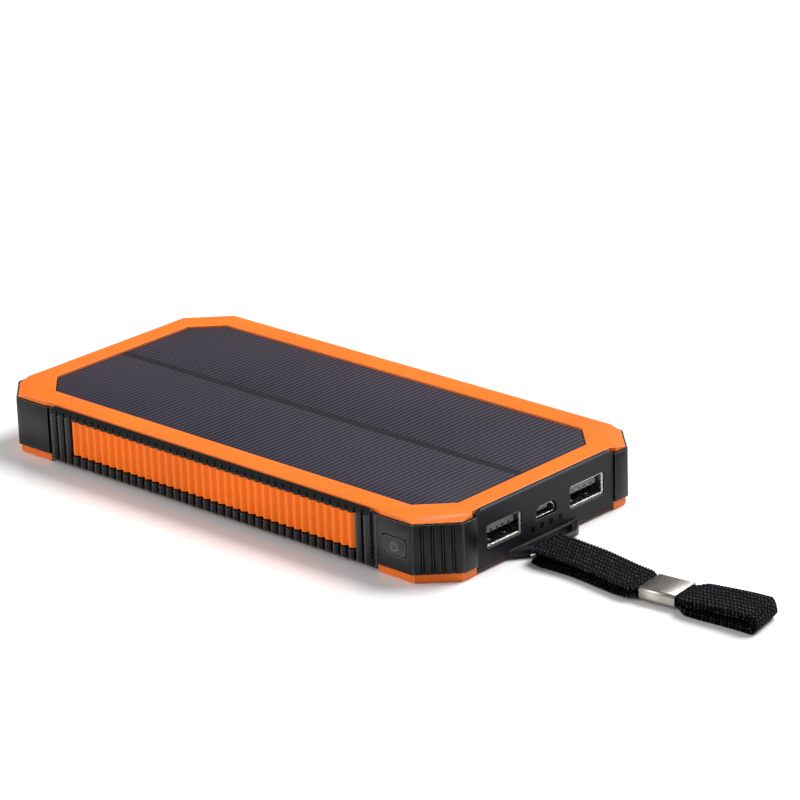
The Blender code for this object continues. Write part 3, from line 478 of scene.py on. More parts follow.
class Finishes:
    """Every material of the power bank, built once."""

    def __init__(self) -> None:
        """Build the materials."""
        # the edge colours given below are painted highlights along the rounded edges
        self.orange = MouldedPlastic("satin_orange_abs", "#F07010", 0.46, specular=0.35, edge="#FFB070").material()
        self.orange_ribs = MouldedPlastic("satin_orange_abs_ribs", "#FA7808", 0.46, specular=0.28).material()
        self.black = MouldedPlastic("spark_eroded_black_abs", "#09090B", 0.32, cloud=0.10, specular=0.26, edge="#76767C").material()
        self.black_plate = MouldedPlastic("fine_grained_black_abs", "#1A1A1E", 0.42, cloud=0.10, specular=0.20, edge="#66666C").material()
        self.black_grip = MouldedPlastic("satin_black_abs_grip", "#070709", 0.26, cloud=0.10, specular=0.45).material()
        self.black_button = MouldedPlastic("satin_black_abs_button", "#0F0F11", 0.32, specular=0.36, edge="#5C5C62").material()
        self.cell = CoatedCell("coated_solar_cell", "#28252F", 0.52, specular=0.18).material()
        self.strip = Plain("dark_film_under_epoxy", "#17161B", 0.50, specular=0.25).material()
        self.board = Plain("black_glass_fibre_board", "#242327", 0.55).material()
        self.nickel = SheetMetal("nickel_plated_sheet", "#D9D7D2", 0.24, 1.0).material()
        self.crimp = SheetMetal("brushed_plated_steel", "#B0ABA4", 0.32, 1.0, brushed_along=(1.0, 0.05, 1.0), dark="#928D86", scratch_mm=0.12).material()
        self.tongue = Plain("glass_filled_socket_nylon", "#8C8C8E", 0.50, contrast=0.35, mottle_mm=0.5).material()
        self.tinned = SheetMetal("tinned_contact", "#7C7A76", 0.35, 1.0, dark="#4A4946").material()
        self.icon = Plain("pad_printed_grey", "#6E6F76", 0.45).material()
        self.webbing = Webbing("woven_black_webbing", "#060607", 0.80, specular=0.05).material()
        self.laminate = Plain("green_solder_mask", "#1E5A3B", 0.40, coat=0.3, mottle_mm=2.0).material()
        self.resin = Plain("moulded_chip_resin", "#202124", 0.45).material()
        self.ferrite = Plain("sintered_ferrite", "#4A4A4C", 0.65).material()
        self.can = SheetMetal("drawn_aluminium_can", "#C6C8CA", 0.30, 1.0).material()
        self.led = Plain("white_led_body", "#EFECE0", 0.35, contrast=0.04).material()
        self.lens = Plain("smoked_acrylic_light_pipe", "#040405", 0.35, contrast=0.05, depth_mm=0.0, specular=0.06).material()
        self.foil = SheetMetal("pouch_cell_foil", "#B7BCC2", 0.36, 0.9).material()
        self.foam = Plain("closed_cell_foam", "#3A3B3D", 0.95, mottle_mm=0.5, depth_mm=0.15).material()
        self.red_wire = Plain("red_silicone_sleeve", "#B3261E", 0.50, contrast=0.05).material()
        self.black_wire = Plain("black_silicone_sleeve", "#1B1B1D", 0.50, contrast=0.05).material()
        self.screw = SheetMetal("blackened_screw_steel", "#6E7075", 0.35, 1.0, dark="#3E4044").material()

    def for_nodes(self) -> dict[str, bpy.types.Material]:
        """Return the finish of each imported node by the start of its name."""
        return {
            "bottom_cover": self.orange,
            "bottom_inlay": self.black,
            "port_end_plate": self.black_plate,
            "rear_end_plate": self.black_plate,
            "solar_cell": self.cell,
            "solar_centre_strip": self.strip,
            "solar_panel_board": self.board,
            "usb_tongue": self.tongue,
            "usb_shell": self.nickel,
            "micro_usb_shell": self.nickel,
            "micro_usb_tongue": self.tongue,
            "micro_usb_riser": self.laminate,
            "circuit_board": self.laminate,
            "charger_chip": self.resin,
            "boost_chip": self.resin,
            "boost_inductor": self.ferrite,
            "capacitor": self.can,
            "charge_led": self.led,
            "light_pipe": self.lens,
            "battery_cell": self.foil,
            "foam_pad": self.foam,
            "battery_lead_positive": self.red_wire,
            "battery_lead_negative": self.black_wire,
            "panel_lead_positive": self.red_wire,
            "panel_lead_negative": self.black_wire,
            "case_screw": self.screw,
            "tact_switch": self.can,
            "switch_plunger": self.resin,
            "strap_core": self.black_wire,
            "top_bezel": self.orange,
            "mid_frame": self.black,
            "grip_insert": self.orange_ribs,
            "grip": self.black_grip,
            "power_button": self.black_button,
            "strap": self.webbing,
        }

    def paint_nodes(self, nodes: dict[str, bpy.types.Object]) -> None:
        """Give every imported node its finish.

        Args:
            nodes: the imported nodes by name.
        """
        table = self.for_nodes()
        for name, item in nodes.items():
            key = max((start for start in table if name.startswith(start)), key=len)
            item.data.materials.clear()
            item.data.materials.append(table[key])


# ---------------------------------------------------------------- the case


@dataclass
class Case:
    """The orange bezel and the black frame, with the notches that the grips and the end plates sit in."""

    length: float = 164 * MM
    width: float = 83 * MM
    corner: float = 9.2 * MM
    bezel_inset: float = 0.7 * MM
    bezel_low: float = 16.1 * MM
    bezel_high: float = 17.3 * MM
    frame_low: float = 2.5 * MM
    frame_high: float = 16.0 * MM
    wall: float = 4.1 * MM
    panel: tuple[float, float, float] = (147.8 * MM, 66.8 * MM, 8.3 * MM)
    corner_slope: tuple[float, float] = (2.6 * MM, 0.95 * MM)  # in from the corner face, and down
    ribs: int = 5  # rounded ribs on each corner face

    def corner_cut(self, inset: float) -> float:
        """Return the corner's cut along a side once every side has moved in by an inset."""
        return self.corner - inset * (2 - math.sqrt(2))

    def outline(self, inset: float, back_x: float, back_y: float, slant: float, corner: Sequence[Point]) -> list[Point]:
        """Outline the case in plan.

        Args:
            inset: how far the sides stand back.
            back_x: where the notch behind an end plate stops.
            back_y: where the notch behind a grip stops.
            slant: how far a notch's sides lean.
            corner: extra points along the corner face.

        Returns:
            The closed outline.
        """
        x, y = self.length / 2 - inset, self.width / 2 - inset
        cut = self.corner_cut(inset)
        end_y, side_x = 27.1 * MM, 60.5 * MM
        quarter = [(back_x, end_y), (x, end_y + slant), (x, y - cut), *corner]
        return four_quarters([*quarter, (x - cut, y), (side_x + slant, y), (side_x, back_y)])

    def corner_ribs(self) -> list[Point]:
        """Return points along a corner face that swell into rounded ribs."""
        start = Vector((self.length / 2, self.width / 2 - self.corner))
        end = Vector((self.length / 2 - self.corner, self.width / 2))
        inwards = Vector((-1, -1)).normalized()
        steps = 8
        points = []
        for i in range(1, self.ribs * steps):
            depth = 0.95 * MM * (1 - abs(math.sin(math.pi * i / steps)) ** 0.7)
            points.append(tuple(start.lerp(end, i / (self.ribs * steps)) + inwards * depth))
        return points

    def build_bezel(self, finish: bpy.types.Material) -> None:
        """Model the orange rim round the panel, with a shallow slope on each corner."""
        outline = self.outline(self.bezel_inset, 80.0 * MM, 40.2 * MM, 1.2 * MM, ())
        bm = prism(outline, self.bezel_low, self.bezel_high)
        back, drop = self.corner_slope
        for sign_x in (1, -1):
            for sign_y in (1, -1):
                outwards = Vector((sign_x, sign_y, 0)).normalized()
                reach = (self.length / 2 + self.width / 2 - self.corner) / math.sqrt(2)
                foot = outwards * (reach - self.bezel_inset - back) + Vector((0, 0, self.bezel_high))
                slice_off(bm, foot, (outwards * drop + Vector((0, 0, back))).normalized())
        slice_off(bm, Vector((-80.1 * MM, 0, 0)), Vector((-1, 0, 0)))
        slice_off(bm, Vector((0, 40.2 * MM, 0)), Vector((0, 1, 0)))
        bezel = as_object("bezel", bm)
        carved(bezel, [prism(cut_corner(*self.panel), 0, 0.03)])
        bm = bmesh.new()
        bm.from_mesh(bezel.data)
        bmesh.ops.remove_doubles(bm, verts=bm.verts, dist=1e-6)
        middle = (self.bezel_low + self.bezel_high) / 2
        bevel(bm, 0.28 * MM, lambda edge: sharp(edge) and min(v.co.z for v in edge.verts) > middle)
        bm.to_mesh(bezel.data)
        bm.free()
        dress(bezel, finish, Body.CASE, ["top_bezel"])

    def build_frame(self, finish: bpy.types.Material) -> None:
        """Model the black frame with its ribbed corner faces, its socket opening and its button opening."""
        outline = self.outline(0, 80.2 * MM, 40.4 * MM, 0, self.corner_ribs())
        bm = prism(outline, self.frame_low, self.frame_high)
        ends = (self.frame_low, self.frame_high)
        bevel(bm, 0.3 * MM, lambda edge: all(any(abs(v.co.z - z) < 1e-6 for z in ends) for v in edge.verts) and sharp(edge), 2)
        frame = as_object("frame", bm)
        cavity = cut_corner(self.length - 2 * self.wall, self.width - 2 * self.wall, self.corner_cut(self.wall))
        sockets = prism(rounded(48 * MM, 8.7 * MM, 0.5 * MM), 70 * MM, 85 * MM, Facing.SOCKET_END)
        bmesh.ops.translate(sockets, verts=sockets.verts, vec=(0, 0, 8.15 * MM))
        button = prism(rounded(8.5 * MM, 5.3 * MM, 1.0 * MM), 34 * MM, 46 * MM, Facing.BUTTON_SIDE)
        bmesh.ops.translate(button, verts=button.verts, vec=(66.75 * MM, 0, 9.15 * MM))
        carved(frame, [prism(cavity, 0, 0.03), sockets, button])
        dress(frame, finish, Body.CASE, ["mid_frame"])

    def build_cover(self, finish: bpy.types.Material) -> None:
        """Model the orange bottom cover with its inlay recess and its four counterbored screw holes."""
        outline = self.outline(self.bezel_inset, 78.8 * MM, 38.8 * MM, 0, ())
        bm = prism(outline, 0, self.frame_low - 0.1 * MM)
        bevel(bm, 0.6 * MM, lambda edge: sharp(edge) and max(v.co.z for v in edge.verts) < 1e-6, 2)
        cover = as_object("cover", bm)
        holes = [prism(cut_corner(112.6 * MM, 52.6 * MM, 7.2 * MM), -1 * MM, 1.2 * MM)]
        for sign_x in (1, -1):
            for sign_y in (1, -1):
                for radius, top in ((2.1 * MM, 1.5 * MM), (1.2 * MM, 4 * MM)):
                    hole = prism(rounded(2 * radius, 2 * radius, radius), -1 * MM, top)
                    bmesh.ops.translate(hole, verts=hole.verts, vec=(sign_x * 73.5 * MM, sign_y * 30.5 * MM, 0))
                    holes.append(hole)
        carved(cover, holes)
        dress(cover, finish, Body.CASE, ["bottom_cover"])

    def build_lug_shadow_blocks(self, finish: bpy.types.Material) -> None:
        """Model two dark blocks under the strap lug's arms, down to just above the floor: painted shade standing in for
        the contact shadow under the lug.
        """
        bm = bmesh.new()
        for side in (-1, 1):
            plan = [(81.5, 12.7), (82.2, 12.6), (84.2, 10.2), (84.6, 9.3), (81.5, 9.3)]
            foot = prism([(x * MM, side * y * MM) for x, y in plan], 0.15 * MM, 1.2 * MM)
            bmesh.ops.translate(foot, verts=foot.verts, vec=(0, -0.9 * MM, 0))
            merge(bm, foot)
        dress(as_object("lug_shade_blocks", bm), finish, Body.CASE)

    def build(self, finishes: Finishes) -> None:
        """Build the bezel, the frame and the bottom cover."""
        self.build_bezel(finishes.orange)
        self.build_frame(finishes.black)
        self.build_cover(finishes.orange)
        self.build_lug_shadow_blocks(finishes.black_plate)


@dataclass
class SolarPanel:
    """Two coated half panels with a dark film between them, a little below the bezel's top."""

    size: tuple[float, float, float] = (147.4 * MM, 66.4 * MM, 8.2 * MM)
    strip: float = 2.5 * MM
    low: float = 16.0 * MM
    high: float = 16.8 * MM

    def build(self, finishes: Finishes) -> None:
        """Build the two halves and the film."""
        length, width, _ = self.size
        for name, sign in (("near", -1), ("far", 1)):
            bm = prism(cut_corner(*self.size), self.low, self.high)
            slice_off(bm, Vector((0, sign * self.strip / 2, 0)), Vector((0, -sign, 0)))
            bevel(bm, 0.12 * MM, lambda edge: sharp(edge) and min(v.co.z for v in edge.verts) > self.high - 1e-6, 2)
            dress(as_object(f"panel_half_{name}", bm), finishes.cell, Body.CASE, [f"solar_cell_{name}"])
        strip = prism(four_quarters([(length / 2 - 0.1 * MM, self.strip / 2)]), self.low, self.high - 0.05 * MM)
        dress(as_object("panel_film", strip), finishes.strip, Body.CASE, ["solar_centre_strip"])


@dataclass
class Grip:
    """One long side: a black ribbed moulding with a window, and the orange ribbed strip in it."""

    name: str
    turned: bool
    pitch: float = 2.745 * MM
    first_rib: int = -21
    last_rib: int = 21
    orange_first: int = -18
    orange_last: int = 19
    half_length: float = 60.2 * MM
    face: float = 42.5 * MM
    back: float = 40.5 * MM
    low: float = 0.7 * MM
    high: float = 17.2 * MM
    ledge: float = 16.7 * MM  # top of the ribbed part; a thin wall stands behind it, against the bezel
    window: tuple[float, float] = (4.7 * MM, 14.9 * MM)
    slope: tuple[float, float] = (1.9 * MM, 1.5 * MM)

    def wave(self, first: int, last: int, crest: float, depth: float, sharpness: float) -> list[Point]:
        """Run a ribbed line along -Y.

        Args:
            first: number of the first rib, counted from the middle of the case.
            last: number of the last rib.
            crest: distance of the crests from the case's middle.
            depth: how deep the valleys are.
            sharpness: below 1 makes the crests broad and the valleys narrow.

        Returns:
            The points from the first valley to the last.
        """
        steps = 12
        points = []
        for i in range((last - first + 1) * steps + 1):
            x = (first - 0.5) * self.pitch + i * self.pitch / steps
            rise = abs(math.sin(math.pi * i / steps)) ** sharpness
            points.append((x, -(crest - depth * (1 - rise))))
        return points

    def place(self, item: bpy.types.Object) -> bpy.types.Object:
        """Turn the far side's copy round to its place."""
        if self.turned:
            item.data.transform(Matrix.Rotation(math.pi, 4, "Z"))
        return item

    def build_body(self, finish: bpy.types.Material) -> None:
        """Model the black moulding, ribbed from end to end and sloped along both long edges."""
        ribs = self.wave(self.first_rib, self.last_rib, self.face, 1.6 * MM, 0.6)
        valley = ribs[0][1]
        outline = [(-self.half_length, -self.back), (-self.half_length, valley), *ribs]
        outline += [(self.half_length, valley), (self.half_length, -self.back)]
        bm = prism(outline, self.low, self.high)
        back, drop = self.slope
        for height, up in ((self.ledge, 1), (self.low, -1)):
            foot = Vector((0, -(self.face - back), height))
            slice_off(bm, foot, Vector((0, -drop, up * back)).normalized())
        for side in (1, -1):
            foot = Vector((side * (self.half_length - 2.6 * MM), 0, self.ledge + 0.3 * MM))
            slice_off(bm, foot, Vector((side * 1.1, 0, 2.0)).normalized())
        length = 2 * (self.half_length - 2.8 * MM)
        fence = prism(four_quarters([(length / 2, 0.2 * MM)]), self.ledge - 1 * MM, self.high - (0.35 * MM if self.turned else 0))
        bmesh.ops.translate(fence, verts=fence.verts, vec=(0, -self.back - 0.2 * MM, 0))
        merge(bm, fence)
        grip = as_object(f"grip_{self.name}_moulding", bm)
        middle = (self.orange_first + self.orange_last) / 2 * self.pitch
        width = (self.orange_last - self.orange_first + 1) * self.pitch + 0.6 * MM
        low, high = self.window
        opening = [(middle - width / 2, low), (middle + width / 2, low), (middle + width / 2, high), (middle - width / 2, high)]
        carved(grip, [prism(opening, 36 * MM, 46 * MM, Facing.BUTTON_SIDE)])
        dress(self.place(grip), finish, Body.CASE, [f"grip_{self.name}"], smooth=40)

    def build_strip(self, finish: bpy.types.Material) -> None:
        """Model the orange strip with its soft ribs."""
        ribs = self.wave(self.orange_first, self.orange_last, self.face - 0.3 * MM, 0.9 * MM, 1.4)
        outline = [(ribs[0][0], -self.back), *ribs, (ribs[-1][0], -self.back)]
        bm = prism(outline, self.window[0] + 0.3 * MM, self.window[1] - 0.3 * MM)
        strip = as_object(f"grip_{self.name}_orange_strip", bm)
        dress(self.place(strip), finish, Body.CASE, [f"grip_insert_{self.name}"], smooth=50)

    def build(self, finishes: Finishes) -> None:
        """Build the moulding and its strip."""
        self.build_body(finishes.black_grip)
        self.build_strip(finishes.orange_ribs)


@dataclass
class Button:
    """The power button: a dished cap with a rounded rim and a printed power mark."""

    centre: tuple[float, float] = (66.75 * MM, 9.15 * MM)
    size: tuple[float, float] = (7.9 * MM, 4.7 * MM)
    face: float = 41.7 * MM
    thickness: float = 1.6 * MM

    def build_cap(self, finish: bpy.types.Material) -> None:
        """Model the cap with the stem behind it."""
        bm = prism(rounded(*self.size, 0.9 * MM), self.face - self.thickness, self.face, Facing.BUTTON_SIDE)
        front = [face for face in bm.faces if face.normal.y < -0.9]
        bmesh.ops.inset_region(bm, faces=front, thickness=0.45 * MM, depth=0.0)
        front = [face for face in bm.faces if face.normal.y < -0.9 and len(face.verts) > 4]
        bmesh.ops.translate(bm, verts=list({v for face in front for v in face.verts}), vec=(0, 0.10 * MM, 0))
        bevel(bm, 0.22 * MM, lambda edge: sharp(edge, 50) and all(v.co.y < -self.face + 0.01 * MM for v in edge.verts))
        stem = prism(rounded(3.0 * MM, 2.4 * MM, 0.3 * MM, 3), 36.2 * MM, self.face - self.thickness + 0.2 * MM, Facing.BUTTON_SIDE)
        merge(bm, stem)
        bmesh.ops.translate(bm, verts=bm.verts, vec=(self.centre[0], 0, self.centre[1]))
        dress(as_object("button_cap", bm), finish, Body.BUTTON, ["power_button"])

    def build_mark(self, finish: bpy.types.Material) -> None:
        """Model the power mark as a broken ring with a bar in its gap, a hair proud of the cap."""
        bm = bmesh.new()
        radius, line, steps = 1.15 * MM, 0.24 * MM, 20
        ring = []
        for i in range(steps + 1):
            turn = math.radians(120 + 300 * i / steps)
            direction = Vector((math.cos(turn), math.sin(turn), 0))
            ring.append([bm.verts.new(direction * (radius + side * line / 2)) for side in (-1, 1)])
        for (a, b), (c, d) in zip(ring, ring[1:]):
            bm.faces.new((a, b, d, c))
        corners = [(-line / 2, 0.35 * MM), (line / 2, 0.35 * MM), (line / 2, 1.5 * MM), (-line / 2, 1.5 * MM)]
        bm.faces.new([bm.verts.new((x, y, 0)) for x, y in corners])
        bmesh.ops.recalc_face_normals(bm, faces=bm.faces)
        bmesh.ops.solidify(bm, geom=list(bm.faces), thickness=0.06 * MM)
        bmesh.ops.transform(bm, matrix=Facing.BUTTON_SIDE.value, verts=bm.verts)
        bmesh.ops.translate(bm, verts=bm.verts, vec=(self.centre[0], -self.face + 0.08 * MM, self.centre[1] - 0.2 * MM))
        bmesh.ops.recalc_face_normals(bm, faces=bm.faces)
        dress(as_object("button_power_mark", bm), finish, Body.BUTTON, smooth=None)

    def build(self, finishes: Finishes) -> None:
        """Build the cap and its mark."""
        self.build_cap(finishes.black_button)
        self.build_mark(finishes.icon)


# ---------------------------------------------------------------- sockets


@dataclass
class UsbSocket:
    """One USB-A socket: a folded nickel shell with sprung bumps, and a tongue with four contacts."""

    number: int
    y: float
    z: float = 9.1 * MM
    front: float = 80.8 * MM
    depth: float = 14.0 * MM
    size: tuple[float, float] = (13.1 * MM, 5.7 * MM)
    wall: float = 0.34 * MM

    def move(self, bm: bmesh.types.BMesh) -> bmesh.types.BMesh:
        """Shift a mesh made round the socket's own axis to its place."""
        bmesh.ops.translate(bm, verts=bm.verts, vec=(0, self.y, self.z))
        return bm

    def build_shell(self, finish: bpy.types.Material) -> None:
        """Model the shell, open in front, with a lip that flares round its mouth."""
        width, height = self.size
        outline = rounded(width, height, 0.55 * MM)
        shell = as_object(f"usb_shell_{self.number}_nickel", self.move(prism(outline, self.front - self.depth, self.front, Facing.SOCKET_END)))
        inner = rounded(width - 2 * self.wall, height - 2 * self.wall, 0.35 * MM)
        hollow = self.move(prism(inner, self.front - self.depth + 1.6 * MM, self.front + 1 * MM, Facing.SOCKET_END))
        carved(shell, [hollow])
        dress(shell, finish, Body.CASE, [f"usb_shell_{self.number}"])

    def build_lip(self, finish: bpy.types.Material) -> None:
        """Model the rim of sheet folded outwards in the plate's opening."""
        width, height = self.size
        bm = bmesh.new()
        loops = []
        for grow, forward in ((-self.wall, 0.0), (-0.05 * MM, 0.22 * MM), (0.22 * MM, 0.30 * MM), (0.24 * MM, 0.0)):
            points = rounded(width + 2 * grow, height + 2 * grow, 0.55 * MM + grow)
            ring = [bm.verts.new((x, y, self.front + forward)) for x, y in points]
            loops.append([bm.edges.new(pair) for pair in zip(ring, [*ring[1:], ring[0]])])
        for one, other in zip(loops, [*loops[1:], loops[0]]):
            bmesh.ops.bridge_loops(bm, edges=[*one, *other])
        bmesh.ops.transform(bm, matrix=Facing.SOCKET_END.value, verts=bm.verts)
        bmesh.ops.recalc_face_normals(bm, faces=bm.faces)
        lip = as_object(f"usb_lip_{self.number}", self.move(bm))
        dress(lip, finish, Body.CASE, smooth=45)

    def build_tongue(self, finish: bpy.types.Material) -> None:
        """Model the tongue with a bevelled nose and four slots for its contacts."""
        outline = rounded(11.1 * MM, 1.8 * MM, 0.25 * MM, 3)
        bm = prism(outline, 68.7 * MM, 79.6 * MM, Facing.SOCKET_END)
        bmesh.ops.translate(bm, verts=bm.verts, vec=(0, 0, 0.9 * MM))
        nose = 79.6 * MM
        bevel(bm, 0.45 * MM, lambda edge: all(v.co.x > nose - 1e-6 for v in edge.verts), 2)
        tongue = as_object(f"usb_tongue_{self.number}_nylon", self.move(bm))
        dress(tongue, finish, Body.CASE, [f"usb_tongue_{self.number}"])

    def build_contacts(self, finish: bpy.types.Material) -> None:
        """Model the four contact strips that run under the tongue and turn up at its nose."""
        bm = bmesh.new()
        for y in (-3.5, -1.0, 1.0, 3.5):
            strip = prism(rounded(1.0 * MM, 0.22 * MM, 0.08 * MM, 2), 70 * MM, 79.3 * MM, Facing.SOCKET_END)
            bmesh.ops.translate(strip, verts=strip.verts, vec=(0, y * MM, -0.07 * MM))
            nose = prism(rounded(0.9 * MM, 0.8 * MM, 0.08 * MM, 2), 79.45 * MM, 79.72 * MM, Facing.SOCKET_END)
            bmesh.ops.translate(nose, verts=nose.verts, vec=(0, y * MM, 0.45 * MM))
            merge(bm, strip)
            merge(bm, nose)
        contacts = as_object(f"usb_contacts_{self.number}", self.move(bm))
        dress(contacts, finish, Body.CASE)

    def build_springs(self, finish: bpy.types.Material) -> None:
        """Model the two sprung bumps in the shell's floor that hold a plug."""
        bm = bmesh.new()
        for y in (-3.0, 3.0):
            sphere = bmesh.ops.create_uvsphere(bm, u_segments=16, v_segments=8, radius=1.0 * MM)
            place = Matrix.Translation((77.6 * MM, y * MM, -2.62 * MM)) @ Matrix.Diagonal((1.3, 0.85, 0.42, 1))
            bmesh.ops.transform(bm, matrix=place, verts=sphere["verts"])
        springs = as_object(f"usb_springs_{self.number}", self.move(bm))
        dress(springs, finish, Body.CASE, smooth=60)

    def build(self, finishes: Finishes) -> None:
        """Build the socket's parts."""
        self.build_shell(finishes.nickel)
        self.build_lip(finishes.nickel)
        self.build_tongue(finishes.tongue)
        self.build_contacts(finishes.tinned)
        self.build_springs(finishes.nickel)


@dataclass
class ChargeLights:
    """Four square smoked windows in a row under the micro-USB socket, a hair proud of the end plate."""

    face: float = 81.42 * MM
    z: float = 5.5 * MM
    pitch: float = 3.6 * MM
    side: float = 1.55 * MM

    def build(self, finishes: Finishes) -> None:
        """Build the four windows as one piece."""
        bm = bmesh.new()
        for number in range(4):
            window = prism(rounded(self.side, self.side, 0.25 * MM, 3), self.face - 0.6 * MM, self.face, Facing.SOCKET_END)
            bmesh.ops.translate(window, verts=window.verts, vec=(0, (number - 1.5) * self.pitch, self.z))
            merge(bm, window)
        dress(as_object("charge_light_windows", bm), finishes.lens, Body.CASE)


# ---------------------------------------------------------------- strap


def ease(start: float, end: float, low: float, high: float, value: float) -> float:
    """Go smoothly from start to end as a value goes from low to high."""
    share = min(max((value - low) / (high - low), 0.0), 1.0)
    return start + (end - start) * share * share * (3 - 2 * share)


@dataclass
class Strap:
    """Flat webbing that comes back round the lug's bar, a crimp that holds both layers, and a folded tail."""

    bar: tuple[float, float] = (85.85 * MM, 1.85 * MM)
    crimp: tuple[float, float] = (122.6 * MM, 133.0 * MM)
    crimp_centre: float = -9.0 * MM
    crimp_size: tuple[float, float] = (10.3 * MM, 3.6 * MM)
    crimp_low: float = 0.6 * MM
    turn: float = math.radians(6)
    tail_end: float = 157.0 * MM
    tail_high: float = 5.3 * MM
    width: float = 12.2 * MM
    thickness: float = 0.8 * MM
    rib: float = 1.05 * MM

    def centre(self, x: float) -> float:
        """Return where the webbing's middle runs, at a distance along X."""
        start, end = self.crimp
        middle = (start + end) / 2
        if x < start:
            held = self.crimp_centre - math.tan(self.turn) * (middle - start)
            line = ease(-3.6 * MM, -6.4 * MM, 85.6 * MM, 87.1 * MM, x) + ease(0.0, -0.6 * MM, 87 * MM, 90.5 * MM, x)
            return line + ease(0.0, held + 7.0 * MM, 98 * MM, start - 1 * MM, x)
        if x < end:
            return self.crimp_centre + math.tan(self.turn) * (x - middle)
        held = self.crimp_centre + math.tan(self.turn) * (end - middle)
        return ease(held, -7.0 * MM, end, self.tail_end - 4 * MM, x)

    def breadth(self, x: float) -> float:
        """Return the webbing's width, pinched in the crimp and gathered in the lug's slot."""
        start, end = self.crimp
        pinched = self.crimp_size[0] - 1.3 * MM
        if start < x < end:
            return pinched
        near = min(abs(x - start), abs(x - end))
        at_bar = ease(2.8 * MM, -0.6 * MM, 85.6 * MM, 87.1 * MM, x) + ease(0.0, 0.6 * MM, 90 * MM, 98 * MM, x)
        at_bar += ease(0.0, 1.6 * MM, self.tail_end - 2.0 * MM, self.tail_end, x)
        return ease(pinched, self.width, 0.0, 3.5 * MM, near) - at_bar

    def slant(self, x: float) -> float:
        """Return how far a line across the webbing runs back, per metre across."""
        start, end = self.crimp
        if x < end:
            return ease(0.0, math.tan(self.turn), 100 * MM, start - 1 * MM, x)
        return ease(math.tan(self.turn), 0.20, end + 1 * MM, self.tail_end - 4 * MM, x)

    def loop_route(self) -> list[Vector]:
        """Return the side view of the loop, from the crimp along the floor, round the bar and back on top."""
        x, z = self.bar
        radius = z - self.thickness / 2
        end = self.crimp[0] + 1.5 * MM
        low = [(end, 1.75), (121.5 * MM, 1.55), (119 * MM, 1.0), (115 * MM, 0.62), (108 * MM, 0.45), (97 * MM, 0.42)]
        arc = [math.radians(270 - 180 * i / 8) for i in range(9)]
        turned = [Vector((x + radius * math.cos(a), z + radius * math.sin(a))) for a in arc]
        high = [(88 * MM, 3.50), (92 * MM, 3.75), (98 * MM, 3.60), (106 * MM, 3.45), (114 * MM, 3.34), (119 * MM, 3.32), (121.5 * MM, 3.2), (end, 3.05)]
        return [*(Vector((px, pz * MM)) for px, pz in low), *turned, *(Vector((px, pz * MM)) for px, pz in high)]

    def tail_route(self, layer: int) -> list[Vector]:
        """Return the side view of one folded layer of the tail; each layer lies inside the one before it."""
        step = layer * (self.thickness + 0.08 * MM)
        low, high = self.thickness / 2 + step, self.tail_high - self.thickness / 2 - step
        start, end = self.crimp[1] - 1.0 * MM, self.tail_end - self.thickness / 2 - step
        radius = (high - low) / 2
        middle = (high + low) / 2
        held = 1.6 * MM + 0.35 * layer * MM, 3.1 * MM - 0.35 * layer * MM
        fold = [Vector((end - radius + radius * math.cos(a), middle + radius * math.sin(a))) for a in self.half_turn()]
        under = [(start, held[0]), (start + 2.2 * MM, held[0] - 0.2 * MM), (start + 5 * MM, low + 0.12 * MM), (start + 9 * MM, low)]
        over = [(start + 14 * MM, high - 0.35 * MM), (start + 9 * MM, high - 0.6 * MM)]
        over += [(start + 5 * MM, high - 0.85 * MM), (start + 2.2 * MM, held[1] + 0.45 * MM), (start, held[1])]
        return [*(Vector(p) for p in under), *fold, *(Vector(p) for p in over)]

    @staticmethod
    def half_turn() -> list[float]:
        """Return angles from straight down, round the far end, to straight up."""
        return [math.radians(-90 + 180 * i / 8) for i in range(9)]

    def smooth(self, route: Sequence[Vector], step: float) -> list[tuple[Vector, Vector, float]]:
        """Walk along a curve through a route at even steps.

        Args:
            route: points of a side view.
            step: how far apart the returned points are.

        Returns:
            For each point, its place, its normal and its distance along the route.
        """
        ends = [route[0] * 2 - route[1], *route, route[-1] * 2 - route[-2]]
        dense = []
        for before, start, end, after in zip(ends, ends[1:], ends[2:], ends[3:]):
            for i in range(16):
                t = i / 16
                second = (before * 2 - start * 5 + end * 4 - after) * t * t
                third = (start * 3 - before - end * 3 + after) * t**3
                dense.append((start * 2 + (end - before) * t + second + third) / 2)
        dense.append(route[-1])
        walked, reached, wanted = [], 0.0, 0.0
        for here, there in zip(dense, dense[1:]):
            span = (there - here).length
            while span > 0 and wanted <= reached + span:
                along = (there - here) / span
                place = here + along * (wanted - reached)
                walked.append((place, Vector((-along.y, along.x)), wanted))
                wanted += step
            reached += span
        return walked

